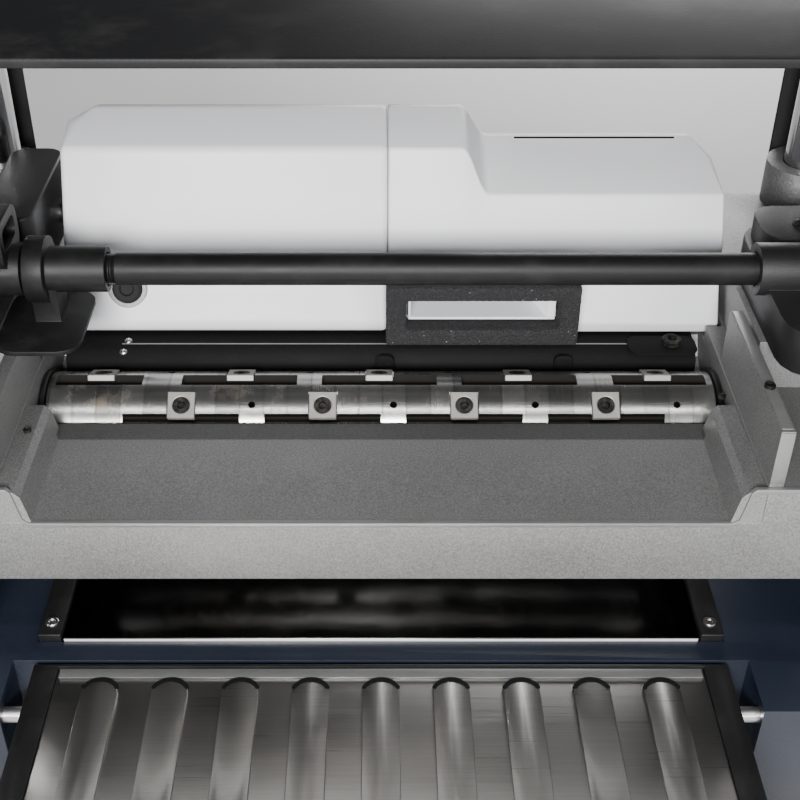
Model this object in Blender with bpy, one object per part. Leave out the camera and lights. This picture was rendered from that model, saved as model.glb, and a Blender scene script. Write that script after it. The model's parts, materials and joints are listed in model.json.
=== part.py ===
"""Benchtop thickness planer with its top cover off.

A carriage with a segmented cutterhead, feed rollers, motor and chip hood rides on four columns
above a fixed table. Sizes are in millimetres and become metres when a mesh is made. +X is the
operator's right, -Y faces the operator, +Z is up, and the origin is the centre of the footprint
at floor level.
"""

import math

import bmesh
import bpy
from mathutils import Vector

MM = 0.001
GAP = 0.35            # clearance between touching pieces
RUN = 0.5             # clearance round a turning or sliding piece

# Base and table
BASE_HALF_X = 280.0
BASE_HALF_Y = 150.0
BASE_WALL = 5.0
BASE_SKIN = 10.0
FOOT_HEIGHT = 8.0
FOOT_RADIUS = 15.0
FOOT_INSET = 17.0
TABLE_TOP = 82.0
TABLE_THICK = 6.0
TABLE_HALF_X = 167.0
TABLE_HALF_Y = 103.0
LIP_DEPTH = 13.5      # painted beam in front of the table
LIP_DROP = 2.0
RAIL_WIDTH = 12.2
RAIL_RISE = 2.5
WING_GAP = 10.5       # between a side rail and the wing's inner face

# Columns, frame and top
COLUMN_X = 232.0
COLUMN_Y = 105.0
COLUMN_RADIUS = 12.5
COLUMN_TOP = 402.0
PANEL_THICK = 2.0
PANEL_X = 262.0
PANEL_HALF_Y = 132.0
REAR_FLANGE_X = 218.0
FRONT_FLANGE_X = 236.0
TOP_THICK = 4.0

# Height screws and crank
SCREW_X = 240.0
SCREW_Y = 55.0
SCREW_RADIUS = 6.0
SCREW_BOTTOM = 30.0
SPROCKET_RADIUS = 14.0
SPROCKET_LOW = 40.0
SPROCKET_THICK = 6.0
CHAIN_THICK = 2.0
CRANK_REACH = 90.0
CRANK_THICK = 8.0
CRANK_RISE = 8.0
KNOB_RADIUS = 13.0
KNOB_HEIGHT = 38.0

# Cutterhead. Places marked "from the head" are measured from its centre.
HEAD_X = -13.0
HEAD_Y = -29.0
OPENING = 62.0        # table to cutting circle at rest
CUT_RADIUS = 26.5
HEAD_RADIUS = 25.0
HEAD_HALF = 172.0
HEAD_ROWS = 6
GULLET_DEPTH = 5.0
GULLET_WIDTH = 11.0
JOURNAL_RADIUS = 10.0
JOURNAL_REACH = 200.0
HEAD_Z = TABLE_TOP + OPENING + CUT_RADIUS
BEARING_RADIUS = 17.0
BEARING_WIDTH = 10.0

# Carriage casting, from the head
CAST_HALF_X = 258.0
CAST_FRONT = -98.5
CAST_REAR = 146.0
CAST_BOTTOM = -22.0
SHELF_FRONT_Z = 13.0
SHELF_CREST_Y = -37.0
SHELF_CREST_Z = 13.9
SHELF_REAR_Z = 15.4   # lip beside the head
HEAD_CLEAR = 3.0      # between the cutting circle and the casting
SHELF_UNDER = 3.0
FRONT_WALL = 8.5
TROUGH_HALF = 161.0
TROUGH_SLOPE = 3.0
LEDGE_Z = 31.0
SIDE_IN = 175.3
SIDE_TOP = 33.0
SIDE_REAR_TOP = 60.0
SIDE_REAR_IN = 186.0
SIDE_STEP_Y = -18.0
GUIDE_WALL = 7.0
GUIDE_TOP_RIGHT = 64.0
GUIDE_TOP_LEFT = 60.0
GUIDE_END_Y = 5.0
DECK_Z = 24.0
DECK_UNDER = 8.0
BOSS_RADIUS = 22.0
REAR_BOSS_TOP = 85.0
POCKET_IN = 190.3
POCKET_OUT = 203.0
BOX_INSET = 12.0      # the gearbox pocket starts this far inside the columns
BOX_WALL = 6.0
BOX_HALF_Y = 72.0

# Rollers, from the head
ROLLER_RADIUS = 14.0
ROLLER_Y = 62.0
ROLLER_Z = -13.5
ROLLER_HALF = 165.0
ROLLER_JOURNAL = 6.0

# Motor and belt, from the head
MOTOR_Y = 100.0
MOTOR_Z = 70.0
MOTOR_RADIUS = 35.0
MOTOR_WALL = 5.0
MOTOR_LEFT = -140.0
MOTOR_RIGHT = 0.0
ROTOR_GAP = 5.0       # between the rotor and the housing
SHAFT_RADIUS = 6.0
FAN_RADIUS = 30.0
FAN_LEFT = 12.0
FAN_WIDTH = 26.0
FAN_BLADES = 8
FAN_HUB = 13.0
FAN_BLADE_HALF = 1.0
PULLEY_RADIUS = 14.0
PULLEY_IN = 191.5
PULLEY_OUT = 200.0
BELT_THICK = 2.0

# Hood, gasket and chute, from the head
HOOD_LEFT = -170.0
HOOD_RIGHT = 183.0
HOOD_SEAM = 3.7
HOOD_WALL = 3.0
HOOD_STEP_START = 43.0
HOOD_STEP_END = 57.0
HOOD_STEP_DROP = 23.0     # at the crease
HOOD_STEP_BACK = 7.4      # how far forward the crease moves over the step
HOOD_APEX_DROP = 17.0
HOOD_LEAN = 13.0          # how far the ends lean in at the top
HOOD_LEANS = (0, 0, 0, 0, 0.2, 1, 1, 0.6, 0, 0)
HOOD_BOTTOM = 25.0
HOOD_FRONT = 43.0
HOOD_BACK = 140.0
HOOD_FOLDS = ((2.0, 25.0), (0.0, 32.0), (10.0, 49.0), (17.0, 73.0))   # (behind the front, z)
HOOD_CREASE_Y = 75.0
HOOD_CREASE_Z = 120.0
HOOD_APEX_Y = 112.0
HOOD_APEX_Z = 128.0
CHUTE_LEFT = 14.0
CHUTE_RIGHT = 94.0
CHUTE_LOW = 36.0
CHUTE_HIGH = 53.0
CHUTE_WALL = 1.5
GASKET_BORDER = 11.7
GASKET_FRONT = 30.0
GASKET_LIFT = 0.5
GASKET_SEAT = 0.7     # between the gasket and the hood's folds
GASKET_TOP = 62.4
PORT_X = 110.0
PORT_Z = 62.0
PORT_RADIUS = 29.0
PORT_WALL = 2.5
PORT_LENGTH = 18.0
PORT_FLANGE = 6.0
DEFLECTOR_CLEAR = 0.7     # from the cutting circle
DEFLECTOR_THICK = 2.0
DEFLECTOR_FOOT_Z = 7.0
DEFLECTOR_REACH = 17.0    # under the hood

# Carriage lock, from the head
LOCK_Y = 5.0
LOCK_Z = 88.0
LOCK_RADIUS = 8.0
LOCK_LEFT = -200.0
LOCK_RIGHT = 200.0
HUB_RADIUS = 11.3
HUB_LEFT = -163.0
HUB_RIGHT = -134.0
DISC_RADIUS = 16.5
DISC_LEFT = -173.0
LEVER_REACH = 60.0
LEVER_HALF = 4.0
GRIP_RADIUS = 8.0
GRIP_LEFT = -202.0
GRIP_LENGTH = 20.0
LOOP_LEFT = -188.0
LOOP_WIDTH = 8.0
COLLAR_WALL = 5.0
LOCK_PLATE_LEFT = -188.0
LOCK_PLATE_RIGHT = -146.0
LOCK_PLATE_FRONT = -31.0
LOCK_PLATE_REAR = 27.0
LOCK_PLATE_THICK = 2.5
LOCK_WEB_HALF = 9.0

# Covers, from the head
COVER_WALL = 3.0
LEFT_COVER_IN = -177.0
LEFT_COVER_FRONT = 34.0
LEFT_COVER_TOP = 100.0
LEFT_COVER_EDGE = 9.0
RIGHT_COVER_IN = 189.0
RIGHT_COVER_OUT = 262.0
RIGHT_COVER_FRONT = -50.0
RIGHT_COVER_REAR = 62.0
RIGHT_COVER_TOP = 83.0
RIGHT_COVER_EDGE = 18.0
HUMP_FRONT = 22.0
HUMP_TOP = 95.0
HUMP_INSET = 4.0
SADDLE_WALL = 5.0

# Extension tables
LEAF_TIP_Y = 370.0
LEAF_INNER_Y = 119.5
LEAF_DROP = 1.5
LEAF_PLATE = 2.0
LEAF_HALF_X = 165.0
LEAF_BORDER = 13.0
LEAF_DEPTH = 22.0
LEAF_HINGE_Y = 143.0
LEAF_HINGE_DROP = 11.0
PIN_RADIUS = 4.0
PIN_LENGTH = 34.0

# Controls
SWITCH_X = 240.0
SWITCH_HALF = 24.0
SWITCH_LOW = 296.0
SWITCH_HIGH = 384.0
SWITCH_DEPTH = 33.0
PADDLE_HALF = 16.0
PADDLE_THICK = 5.0
PADDLE_STANDOFF = 6.0
BUTTON_RADIUS = 6.0
BUTTON_TRAVEL = 3.0
STOP_KNOB_RADIUS = 16.0
STOP_KNOB_DEPTH = 22.0
GLAND_RADIUS = 9.0
GLAND_BORE = 4.0
GLAND_LENGTH = 14.0

ROUND = 24            # sides of a large round piece
SMALL_ROUND = 16      # sides of a small one

COLOURS = {
    "blue_paint": ((0.035, 0.05, 0.09), 0.3, 0.45),
    "cast_aluminium": ((0.42, 0.42, 0.42), 0.8, 0.5),
    "white_plastic": ((0.8, 0.8, 0.82), 0.0, 0.4),
    "black_plastic": ((0.02, 0.02, 0.02), 0.0, 0.5),
    "black_steel": ((0.02, 0.02, 0.022), 0.6, 0.4),
    "stainless": ((0.6, 0.6, 0.6), 1.0, 0.25),
    "chrome": ((0.75, 0.75, 0.76), 1.0, 0.1),
    "steel": ((0.5, 0.49, 0.47), 1.0, 0.3),
    "rubber": ((0.03, 0.03, 0.03), 0.0, 0.8),
    "foam": ((0.05, 0.05, 0.05), 0.0, 0.95),
    "red_plastic": ((0.5, 0.03, 0.02), 0.0, 0.4),
}

ORDER = {"X": (2, 0, 1), "Y": (0, 2, 1), "Z": (0, 1, 2)}


def clear_scene():
    """Removes every object of the open file."""
    for item in list(bpy.data.objects):
        bpy.data.objects.remove(item)


def finish(name):
    """Returns the material of that name, made on first use."""
    found = bpy.data.materials.get(name)
    if found:
        return found
    colour, metallic, roughness = COLOURS[name]
    material = bpy.data.materials.new(name)
    material.use_nodes = True
    shader = material.node_tree.nodes["Principled BSDF"]
    shader.inputs["Base Color"].default_value = (*colour, 1.0)
    shader.inputs["Metallic"].default_value = metallic
    shader.inputs["Roughness"].default_value = roughness
    return material


# Shapes: each returns (points, faces) in millimetres.

def point(axis, u, v, w):
    """The 3-D point at (u, v) across the axis and w along it."""
    return tuple((u, v, w)[i] for i in ORDER[axis])


def loft(rings, closed=False):
    """Joins rings of equal count; the ends get caps, or the last ring meets the first when closed."""
    count = len(rings[0])
    points = [p for ring in rings for p in ring]
    faces = []
    last = len(rings) if closed else len(rings) - 1
    for r in range(last):
        here = r * count
        there = (r + 1) % len(rings) * count
        for i in range(count):
            j = (i + 1) % count
            faces.append((here + i, here + j, there + j, there + i))
    if not closed:
        faces.append(tuple(range(count)))
        faces.append(tuple(range(len(points) - count, len(points))))
    return points, faces


def extrusion(axis, outline, low, high):
    """An outline across an axis, swept from low to high along it."""
    return loft([[point(axis, u, v, w) for u, v in outline] for w in (low, high)])


def block(low, high):
    """A box between two opposite corners."""
    outline = [(low[0], low[1]), (high[0], low[1]), (high[0], high[1]), (low[0], high[1])]
    return extrusion("Z", outline, low[2], high[2])


def circle(centre, radius, sides=ROUND):
    """A circle's points."""
    turn = 2 * math.pi / sides
    angles = [i * turn for i in range(sides)]
    return [(centre[0] + radius * math.cos(a), centre[1] + radius * math.sin(a)) for a in angles]


def rod(axis, centre, radius, low, high, sides=ROUND):
    """A round bar."""
    return extrusion(axis, circle(centre, radius, sides), low, high)


def band(axis, outer, inner, low, high):
    """The wall between two outlines of equal count, swept along the axis."""
    rings = [(outer, low), (outer, high), (inner, high), (inner, low)]
    return loft([[point(axis, u, v, w) for u, v in outline] for outline, w in rings], closed=True)


def tube(axis, centre, outer, inner, low, high, sides=ROUND):
    """A round tube."""
    return band(axis, circle(centre, outer, sides), circle(centre, inner, sides), low, high)


def stadium(first, second, radius, steps=10):
    """The outline of a loop that runs round two equal wheels."""
    lean = math.atan2(second[1] - first[1], second[0] - first[0])
    outline = []
    for centre, start in ((second, lean - math.pi / 2), (first, lean + math.pi / 2)):
        for i in range(steps + 1):
            angle = start + math.pi * i / steps
            outline.append((centre[0] + radius * math.cos(angle), centre[1] + radius * math.sin(angle)))
    return outline


def rounded(low, high, radius, steps=4):
    """A rectangle with round corners."""
    corners = [(high[0] - radius, high[1] - radius), (low[0] + radius, high[1] - radius),
               (low[0] + radius, low[1] + radius), (high[0] - radius, low[1] + radius)]
    outline = []
    for quarter, centre in enumerate(corners):
        for i in range(steps + 1):
            angle = math.pi / 2 * (quarter + i / steps)
            outline.append((centre[0] + radius * math.cos(angle), centre[1] + radius * math.sin(angle)))
    return outline


def toothed(centre, radius, depth, teeth):
    """A sprocket's or gear's outline."""
    outline = []
    for i in range(teeth * 4):
        reach = radius if i % 4 < 2 else radius - depth
        angle = 2 * math.pi * (i + 0.5) / (teeth * 4)
        outline.append((centre[0] + reach * math.cos(angle), centre[1] + reach * math.sin(angle)))
    return outline


# Places measured from the head's centre.

def hx(x):
    return HEAD_X + x


def hy(y):
    return HEAD_Y + y


def hz(z):
    return HEAD_Z + z


def head_block(low, high):
    """A box whose corners are measured from the head's centre."""
    return block((hx(low[0]), hy(low[1]), hz(low[2])), (hx(high[0]), hy(high[1]), hz(high[2])))


def head_profile(outline, low, high):
    """A (y, z) outline measured from the head, swept along X."""
    return extrusion("X", [(hy(y), hz(z)) for y, z in outline], hx(low), hx(high))


def head_rod(y, z, radius, low, high, sides=ROUND):
    """A round bar along X, measured from the head."""
    return rod("X", (hy(y), hz(z)), radius, hx(low), hx(high), sides)


def head_tube(y, z, outer, inner, low, high, sides=ROUND):
    """A round tube along X, measured from the head."""
    return tube("X", (hy(y), hz(z)), outer, inner, hx(low), hx(high), sides)


# Objects

def mesh_of(name, shape, shift):
    """A mesh in metres with outward faces."""
    points, faces = shape
    mesh = bpy.data.meshes.new(name)
    mesh.from_pydata([(Vector(p) - shift) * MM for p in points], [], faces)
    shell = bmesh.new()
    shell.from_mesh(mesh)
    bmesh.ops.recalc_face_normals(shell, faces=shell.faces)
    shell.to_mesh(mesh)
    shell.free()
    mesh.shade_smooth()
    mesh.set_sharp_from_angle(angle=math.radians(32))
    return mesh


def add_object(name, shape, shift):
    """A new object whose origin is at shift."""
    item = bpy.data.objects.new(name, mesh_of(name, shape, shift))
    item.location = shift * MM
    bpy.context.scene.collection.objects.link(item)
    return item


def combine(item, shape, operation):
    """Adds or cuts a shape with a Boolean whose operand stays hidden."""
    operand = add_object(item.name + "_operand", shape, Vector((0, 0, 0)))
    operand.hide_render = True
    operand.display_type = "WIRE"
    modifier = item.modifiers.new(operation.lower(), "BOOLEAN")
    modifier.operation = operation
    modifier.solver = "EXACT"
    modifier.object = operand


def piece(name, material, shapes, cuts=(), pivot=(0, 0, 0)):
    """One finished node: the union of its shapes less its cuts, with its origin on the pivot."""
    item = add_object(name, shapes[0], Vector(pivot))
    for shape in shapes[1:]:
        combine(item, shape, "UNION")
    for shape in cuts:
        combine(item, shape, "DIFFERENCE")
    item.data.materials.append(finish(material))
    return item


# Base, table and frame

SIDES = (("left", -1), ("right", 1))
ENDS = (("front", -1), ("rear", 1))


def wing_inner():
    """Half the distance between the wings that flank the extension tables."""
    return TABLE_HALF_X + RAIL_WIDTH + WING_GAP


def make_base():
    top = TABLE_TOP - LIP_DROP
    lip = TABLE_HALF_Y + LIP_DEPTH
    body = block((-BASE_HALF_X, -BASE_HALF_Y, FOOT_HEIGHT), (BASE_HALF_X, BASE_HALF_Y, top))
    cuts = []
    for _, end in ENDS:
        near, far = sorted((end * lip, end * (BASE_HALF_Y + BASE_WALL)))
        cuts.append(block((hx(-wing_inner()), near, 0), (hx(wing_inner()), far, top + BASE_WALL)))
    floor = top - BASE_SKIN
    hollow_y = lip - BASE_WALL
    cuts.append(block((-BASE_HALF_X + BASE_WALL, -hollow_y, 0), (BASE_HALF_X - BASE_WALL, hollow_y, floor)))
    bed = TABLE_HALF_X + RAIL_WIDTH + 2 * GAP
    cuts.append(block((hx(-bed), -TABLE_HALF_Y - GAP, TABLE_TOP - TABLE_THICK - GAP),
                      (hx(bed), TABLE_HALF_Y + GAP, TABLE_TOP + BASE_WALL)))
    for _, side in SIDES:
        cuts.append(rod("Z", (side * SCREW_X, SCREW_Y), SCREW_RADIUS + RUN, floor - 1, top + 1, SMALL_ROUND))
        for _, end in ENDS:
            socket = (side * COLUMN_X, end * COLUMN_Y)
            cuts.append(rod("Z", socket, COLUMN_RADIUS + RUN, top - BASE_SKIN * 0.8, top + 1))
            hole = (end * LEAF_HINGE_Y, leaf_top() - LEAF_HINGE_DROP)
            low, high = sorted((hx(side * (wing_inner() - 1)), hx(side * (wing_inner() + PIN_LENGTH / 2))))
            cuts.append(rod("X", hole, PIN_RADIUS + GAP, low, high, SMALL_ROUND))
    piece("base", "blue_paint", [body], cuts)


def make_feet():
    for side_name, side in SIDES:
        for end_name, end in ENDS:
            centre = (side * (BASE_HALF_X - FOOT_INSET), end * (BASE_HALF_Y - FOOT_INSET))
            foot = rod("Z", centre, FOOT_RADIUS, 0, FOOT_HEIGHT - GAP, SMALL_ROUND)
            piece(f"foot_{end_name}_{side_name}", "rubber", [foot])


def make_table():
    low = TABLE_TOP - TABLE_THICK
    piece("main_table", "stainless",
          [block((hx(-TABLE_HALF_X), -TABLE_HALF_Y, low), (hx(TABLE_HALF_X), TABLE_HALF_Y, TABLE_TOP))])
    for name, side in SIDES:
        inner = TABLE_HALF_X + GAP
        ends = sorted((hx(side * inner), hx(side * (inner + RAIL_WIDTH))))
        piece(f"side_rail_{name}", "black_steel",
              [block((ends[0], -TABLE_HALF_Y, low), (ends[1], TABLE_HALF_Y, TABLE_TOP + RAIL_RISE))])


def make_columns():
    low = TABLE_TOP - LIP_DROP - BASE_SKIN * 0.8 + GAP
    for side_name, side in SIDES:
        for end_name, end in ENDS:
            centre = (side * COLUMN_X, end * COLUMN_Y)
            piece(f"column_{end_name}_{side_name}", "chrome",
                  [rod("Z", centre, COLUMN_RADIUS, low, COLUMN_TOP)])


def make_side_frames():
    low = TABLE_TOP - LIP_DROP + GAP
    for name, side in SIDES:
        outer = PANEL_X + PANEL_THICK
        inner_y = PANEL_HALF_Y - PANEL_THICK
        outline = [(outer, -PANEL_HALF_Y), (outer, PANEL_HALF_Y), (REAR_FLANGE_X, PANEL_HALF_Y),
                   (REAR_FLANGE_X, inner_y), (PANEL_X, inner_y), (PANEL_X, -inner_y),
                   (FRONT_FLANGE_X, -inner_y), (FRONT_FLANGE_X, -PANEL_HALF_Y)]
        piece(f"side_frame_{name}", "black_steel",
              [extrusion("Z", [(side * x, y) for x, y in outline], low, COLUMN_TOP)])


def make_top_plate():
    low = COLUMN_TOP + GAP
    reach = PANEL_X + PANEL_THICK
    plate = extrusion("Z", rounded((-reach, -PANEL_HALF_Y), (reach, PANEL_HALF_Y), 12), low, low + TOP_THICK)
    ends = (low - 1, low + TOP_THICK + 1)
    holes = [rod("Z", (side * SCREW_X, SCREW_Y), SCREW_RADIUS + RUN, *ends, SMALL_ROUND) for _, side in SIDES]
    piece("top_plate", "black_steel", [plate], holes)


def make_height_drive():
    low = SPROCKET_LOW
    high = low + SPROCKET_THICK
    crank_low = COLUMN_TOP + GAP + TOP_THICK + CRANK_RISE
    crank_high = crank_low + CRANK_THICK
    tops = {"left": COLUMN_TOP + TOP_THICK + 3, "right": crank_high + GAP}
    for name, side in SIDES:
        centre = (side * SCREW_X, SCREW_Y)
        pivot = (*centre, 0)
        bar = rod("Z", centre, SCREW_RADIUS, SCREW_BOTTOM, tops[name], SMALL_ROUND)
        wheel = extrusion("Z", toothed(centre, SPROCKET_RADIUS, 2, 12), low, high)
        piece(f"lead_screw_{name}", "steel", [bar, wheel], pivot=pivot)
        nut_low = hz(DECK_UNDER - 3)
        nut = tube("Z", centre, 2 * SCREW_RADIUS, SCREW_RADIUS + RUN, nut_low, hz(DECK_Z) - GAP, SMALL_ROUND)
        piece(f"lead_nut_{name}", "steel", [nut])
    ends = ((-SCREW_X, SCREW_Y), (SCREW_X, SCREW_Y))
    inner = SPROCKET_RADIUS + GAP
    chain = band("Z", stadium(*ends, inner + CHAIN_THICK), stadium(*ends, inner), low + 1, high - 1)
    piece("sync_chain", "steel", [chain])

    hub = (SCREW_X, SCREW_Y)
    tip = (SCREW_X, SCREW_Y - CRANK_REACH)
    arm = extrusion("Z", stadium(hub, tip, 11, 8), crank_low, crank_high)
    pin = rod("Z", tip, 4, crank_high - 1, crank_high + KNOB_HEIGHT - 6, SMALL_ROUND)
    bore = rod("Z", hub, SCREW_RADIUS + GAP, crank_low - 1, crank_high + 1, SMALL_ROUND)
    piece("crank_arm", "black_steel", [arm, pin], [bore], pivot=(*hub, 0))
    grip = rod("Z", tip, KNOB_RADIUS, crank_high + GAP, crank_high + KNOB_HEIGHT)
    socket = rod("Z", tip, 4 + RUN, crank_high - 1, crank_high + KNOB_HEIGHT - 5, SMALL_ROUND)
    piece("crank_knob", "black_plastic", [grip], [socket], pivot=(*tip, 0))


# Extension tables

def leaf_top():
    return TABLE_TOP - LEAF_DROP


def make_leaves():
    """Front and rear extension tables, each a plate in a hinged frame."""
    top = leaf_top()
    hinge_z = top - LEAF_HINGE_DROP
    outer_x = LEAF_HALF_X + LEAF_BORDER
    for name, end in (("infeed", -1), ("outfeed", 1)):
        pivot = (hx(0), end * LEAF_HINGE_Y, hinge_z)
        near, far = sorted((end * LEAF_INNER_Y, end * LEAF_TIP_Y))
        frame = block((hx(-outer_x), near, top - LEAF_DEPTH), (hx(outer_x), far, top))
        plate_y = (near + 2, far - 2)
        plate_low = top - LEAF_PLATE
        seat = block((hx(-LEAF_HALF_X - GAP), plate_y[0] - GAP, plate_low - GAP),
                     (hx(LEAF_HALF_X + GAP), plate_y[1] + GAP, top + 1))
        hollow = block((hx(-LEAF_HALF_X + 3), near + 8, top - LEAF_DEPTH - 1),
                       (hx(LEAF_HALF_X - 3), far - 8, plate_low - 3))
        cuts = [seat, hollow]
        for side_name, side in SIDES:
            inner = hx(side * (LEAF_HALF_X - 4))
            outer = hx(side * (outer_x + 1))
            cuts.append(rod("X", pivot[1:], PIN_RADIUS + RUN, *sorted((inner, outer)), SMALL_ROUND))
            pin_inner = hx(side * (outer_x - LEAF_BORDER - 2))
            pin_outer = hx(side * (wing_inner() + PIN_LENGTH / 2 - 1))
            piece(f"hinge_pin_{name}_{side_name}", "steel",
                  [rod("X", pivot[1:], PIN_RADIUS, *sorted((pin_inner, pin_outer)), SMALL_ROUND)])
        piece(f"{name}_leaf_frame", "black_steel", [frame], cuts, pivot)
        plate = block((hx(-LEAF_HALF_X), plate_y[0], plate_low), (hx(LEAF_HALF_X), plate_y[1], top))
        piece(f"{name}_leaf_plate", "stainless", [plate], pivot=pivot)


# Carriage casting

def shelf_profile():
    """Front beam: front face, shelf, the nose that clears the head, and the space over the roller."""
    clear = CUT_RADIUS + HEAD_CLEAR
    top = math.asin(SHELF_REAR_Z / clear)
    bottom = -math.radians(16)
    steps = [top + (bottom - top) * i / 3 for i in range(4)]
    nose = [(-clear * math.cos(a), clear * math.sin(a)) for a in steps]
    roller_edge = -ROLLER_Y + ROLLER_RADIUS + 3
    inner = CAST_FRONT + FRONT_WALL
    return [(CAST_FRONT, CAST_BOTTOM), (CAST_FRONT, SHELF_FRONT_Z), (SHELF_CREST_Y, SHELF_CREST_Z), *nose,
            (roller_edge, nose[-1][1]), (roller_edge, SHELF_UNDER),
            (inner, SHELF_UNDER), (inner, CAST_BOTTOM)]


def deck_profile():
    """Rear beam under the motor and hood."""
    roller_edge = ROLLER_Y - ROLLER_RADIUS - 3
    wall = CAST_REAR - FRONT_WALL
    return [(CUT_RADIUS + 4.5, -6), (roller_edge, -6), (roller_edge, DECK_UNDER), (wall, DECK_UNDER),
            (wall, CAST_BOTTOM), (CAST_REAR, CAST_BOTTOM), (CAST_REAR, DECK_Z), (roller_edge + 17, DECK_Z),
            (roller_edge + 17, DECK_Z - 4), (roller_edge + 6, DECK_Z - 4), (roller_edge - 1, DECK_UNDER + 2),
            (CUT_RADIUS + 4.5, 4)]


def side_shapes(side):
    """Side block, raised rear part, guide wall, trough wall and column bosses of one side."""
    outer = side * CAST_HALF_X

    def wall(low, high):
        """A box from the head's frame with X measured outwards from the head's centre."""
        corners = [(hx(side * x), hy(y), hz(z)) for x, y, z in (low, high)]
        return block_between(*corners)

    guide_top = GUIDE_TOP_RIGHT if side > 0 else GUIDE_TOP_LEFT
    shapes = [
        block_between((hx(side * SIDE_IN), hy(CAST_FRONT), hz(CAST_BOTTOM)),
                      (outer, hy(CAST_REAR), hz(SIDE_TOP))),
        block_between((hx(side * SIDE_REAR_IN), hy(SIDE_STEP_Y), hz(SIDE_TOP - 2)),
                      (outer - side, hy(CAST_REAR) - 1, hz(SIDE_REAR_TOP))),
        wall((SIDE_IN + 0.5, CAST_FRONT + 2.5, SIDE_TOP - 3), (SIDE_IN + GUIDE_WALL, GUIDE_END_Y, guide_top)),
    ]
    ledge = TROUGH_HALF + TROUGH_SLOPE
    trough = [(TROUGH_HALF - 1, SHELF_UNDER + 1), (TROUGH_HALF, SHELF_FRONT_Z), (ledge, LEDGE_Z - 3),
              (ledge + 3, LEDGE_Z), (SIDE_IN + 2, LEDGE_Z), (SIDE_IN + 2, SHELF_UNDER + 1)]
    outline = [(hx(side * x), hz(z)) for x, z in trough]
    shapes.append(extrusion("Y", outline, hy(CAST_FRONT + 0.5), hy(-CUT_RADIUS - HEAD_CLEAR - 1)))
    for _, end in ENDS:
        top = REAR_BOSS_TOP if end > 0 else SIDE_REAR_TOP
        shapes.append(rod("Z", (side * COLUMN_X, end * COLUMN_Y), BOSS_RADIUS, hz(CAST_BOTTOM + 3), hz(top)))
    return shapes


def block_between(first, second):
    """A box between any two opposite corners."""
    return block([min(pair) for pair in zip(first, second)], [max(pair) for pair in zip(first, second)])


def side_cuts(side):
    """Bores, screw clearance, pockets, bearing seat and roller journals of one side."""
    low = hz(CAST_BOTTOM) - 2
    cuts = [rod("Z", (side * COLUMN_X, end * COLUMN_Y), COLUMN_RADIUS + 0.7, low, hz(REAR_BOSS_TOP) + 2)
            for _, end in ENDS]
    screw = (side * SCREW_X, SCREW_Y)
    cuts.append(rod("Z", screw, SCREW_RADIUS + 1, low, hz(SIDE_REAR_TOP) + 2, SMALL_ROUND))
    cuts.append(block_between((side * (COLUMN_X - BOX_INSET), -BOX_HALF_Y, low),
                              (side * (CAST_HALF_X - BOX_WALL), BOX_HALF_Y, hz(DECK_Z))))
    if side < 0:
        reach = MOTOR_Y + PULLEY_RADIUS + 5
        cuts.append(head_block((-POCKET_OUT, -23, CAST_BOTTOM - 2), (-POCKET_IN, reach, SIDE_REAR_TOP + 30)))
    else:
        cuts.append(head_block((SIDE_IN - 2, HOOD_FRONT - 4, DECK_Z),
                               (HOOD_RIGHT + 1.5, HOOD_BACK + 1, SIDE_TOP + 1)))
        reach = ROLLER_Y + ROLLER_RADIUS + 6
        cuts.append(head_block((POCKET_IN, -reach, CAST_BOTTOM - 2), (POCKET_OUT, reach, DECK_Z)))
    ends = sorted((side * (SIDE_IN - 2), side * (POCKET_IN + 2)))
    cuts.append(head_rod(0, 0, BEARING_RADIUS + GAP, *ends))
    for roller_y in (-ROLLER_Y, ROLLER_Y):
        cuts.append(head_rod(roller_y, ROLLER_Z, ROLLER_JOURNAL + RUN, *ends, SMALL_ROUND))
    return cuts


def make_casting():
    front = head_profile(shelf_profile(), -SIDE_IN - 3, SIDE_IN + 3)
    deck = head_profile(deck_profile(), -SIDE_IN - 3, SIDE_IN + 3)
    shapes = [front, deck]
    cuts = []
    for _, side in SIDES:
        shapes += side_shapes(side)
        cuts += side_cuts(side)
    piece("carriage_casting", "cast_aluminium", [shapes[2], front, deck, *shapes[3:]], cuts)


# Cutterhead, rollers and drive

def head_outline():
    """The cutterhead's section: a round bar with one gullet for each row of inserts."""
    outline = []
    half = GULLET_WIDTH / 2 / HEAD_RADIUS
    step = 2 * math.pi / HEAD_ROWS
    for row in range(HEAD_ROWS):
        start = row * step
        corners = ((-half, HEAD_RADIUS), (-half * 0.4, HEAD_RADIUS - GULLET_DEPTH), (half, HEAD_RADIUS),
                   (half + 0.21, HEAD_RADIUS), (half + 0.42, HEAD_RADIUS))
        for angle, radius in corners:
            outline.append((radius * math.cos(start + angle), radius * math.sin(start + angle)))
    return outline


def make_cutterhead():
    pivot = (hx(0), hy(0), hz(0))
    bar = head_profile(head_outline(), -HEAD_HALF, HEAD_HALF)
    journal = head_rod(0, 0, JOURNAL_RADIUS, -JOURNAL_REACH, JOURNAL_REACH)
    pinion = head_profile(toothed((0, 0), JOURNAL_RADIUS + 3, 2, 14), PULLEY_IN, PULLEY_OUT - 1)
    piece("cutterhead", "steel", [bar, journal, pinion], pivot=pivot)
    pulley = head_tube(0, 0, PULLEY_RADIUS, JOURNAL_RADIUS + GAP, -PULLEY_OUT, -PULLEY_IN)
    piece("head_pulley", "steel", [pulley], pivot=pivot)
    for name, side in SIDES:
        ends = sorted((side * (SIDE_IN + 1), side * (SIDE_IN + 1 + BEARING_WIDTH)))
        race = head_tube(0, 0, BEARING_RADIUS, JOURNAL_RADIUS + RUN, *ends)
        piece(f"bearing_{name}", "black_steel", [race])


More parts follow.
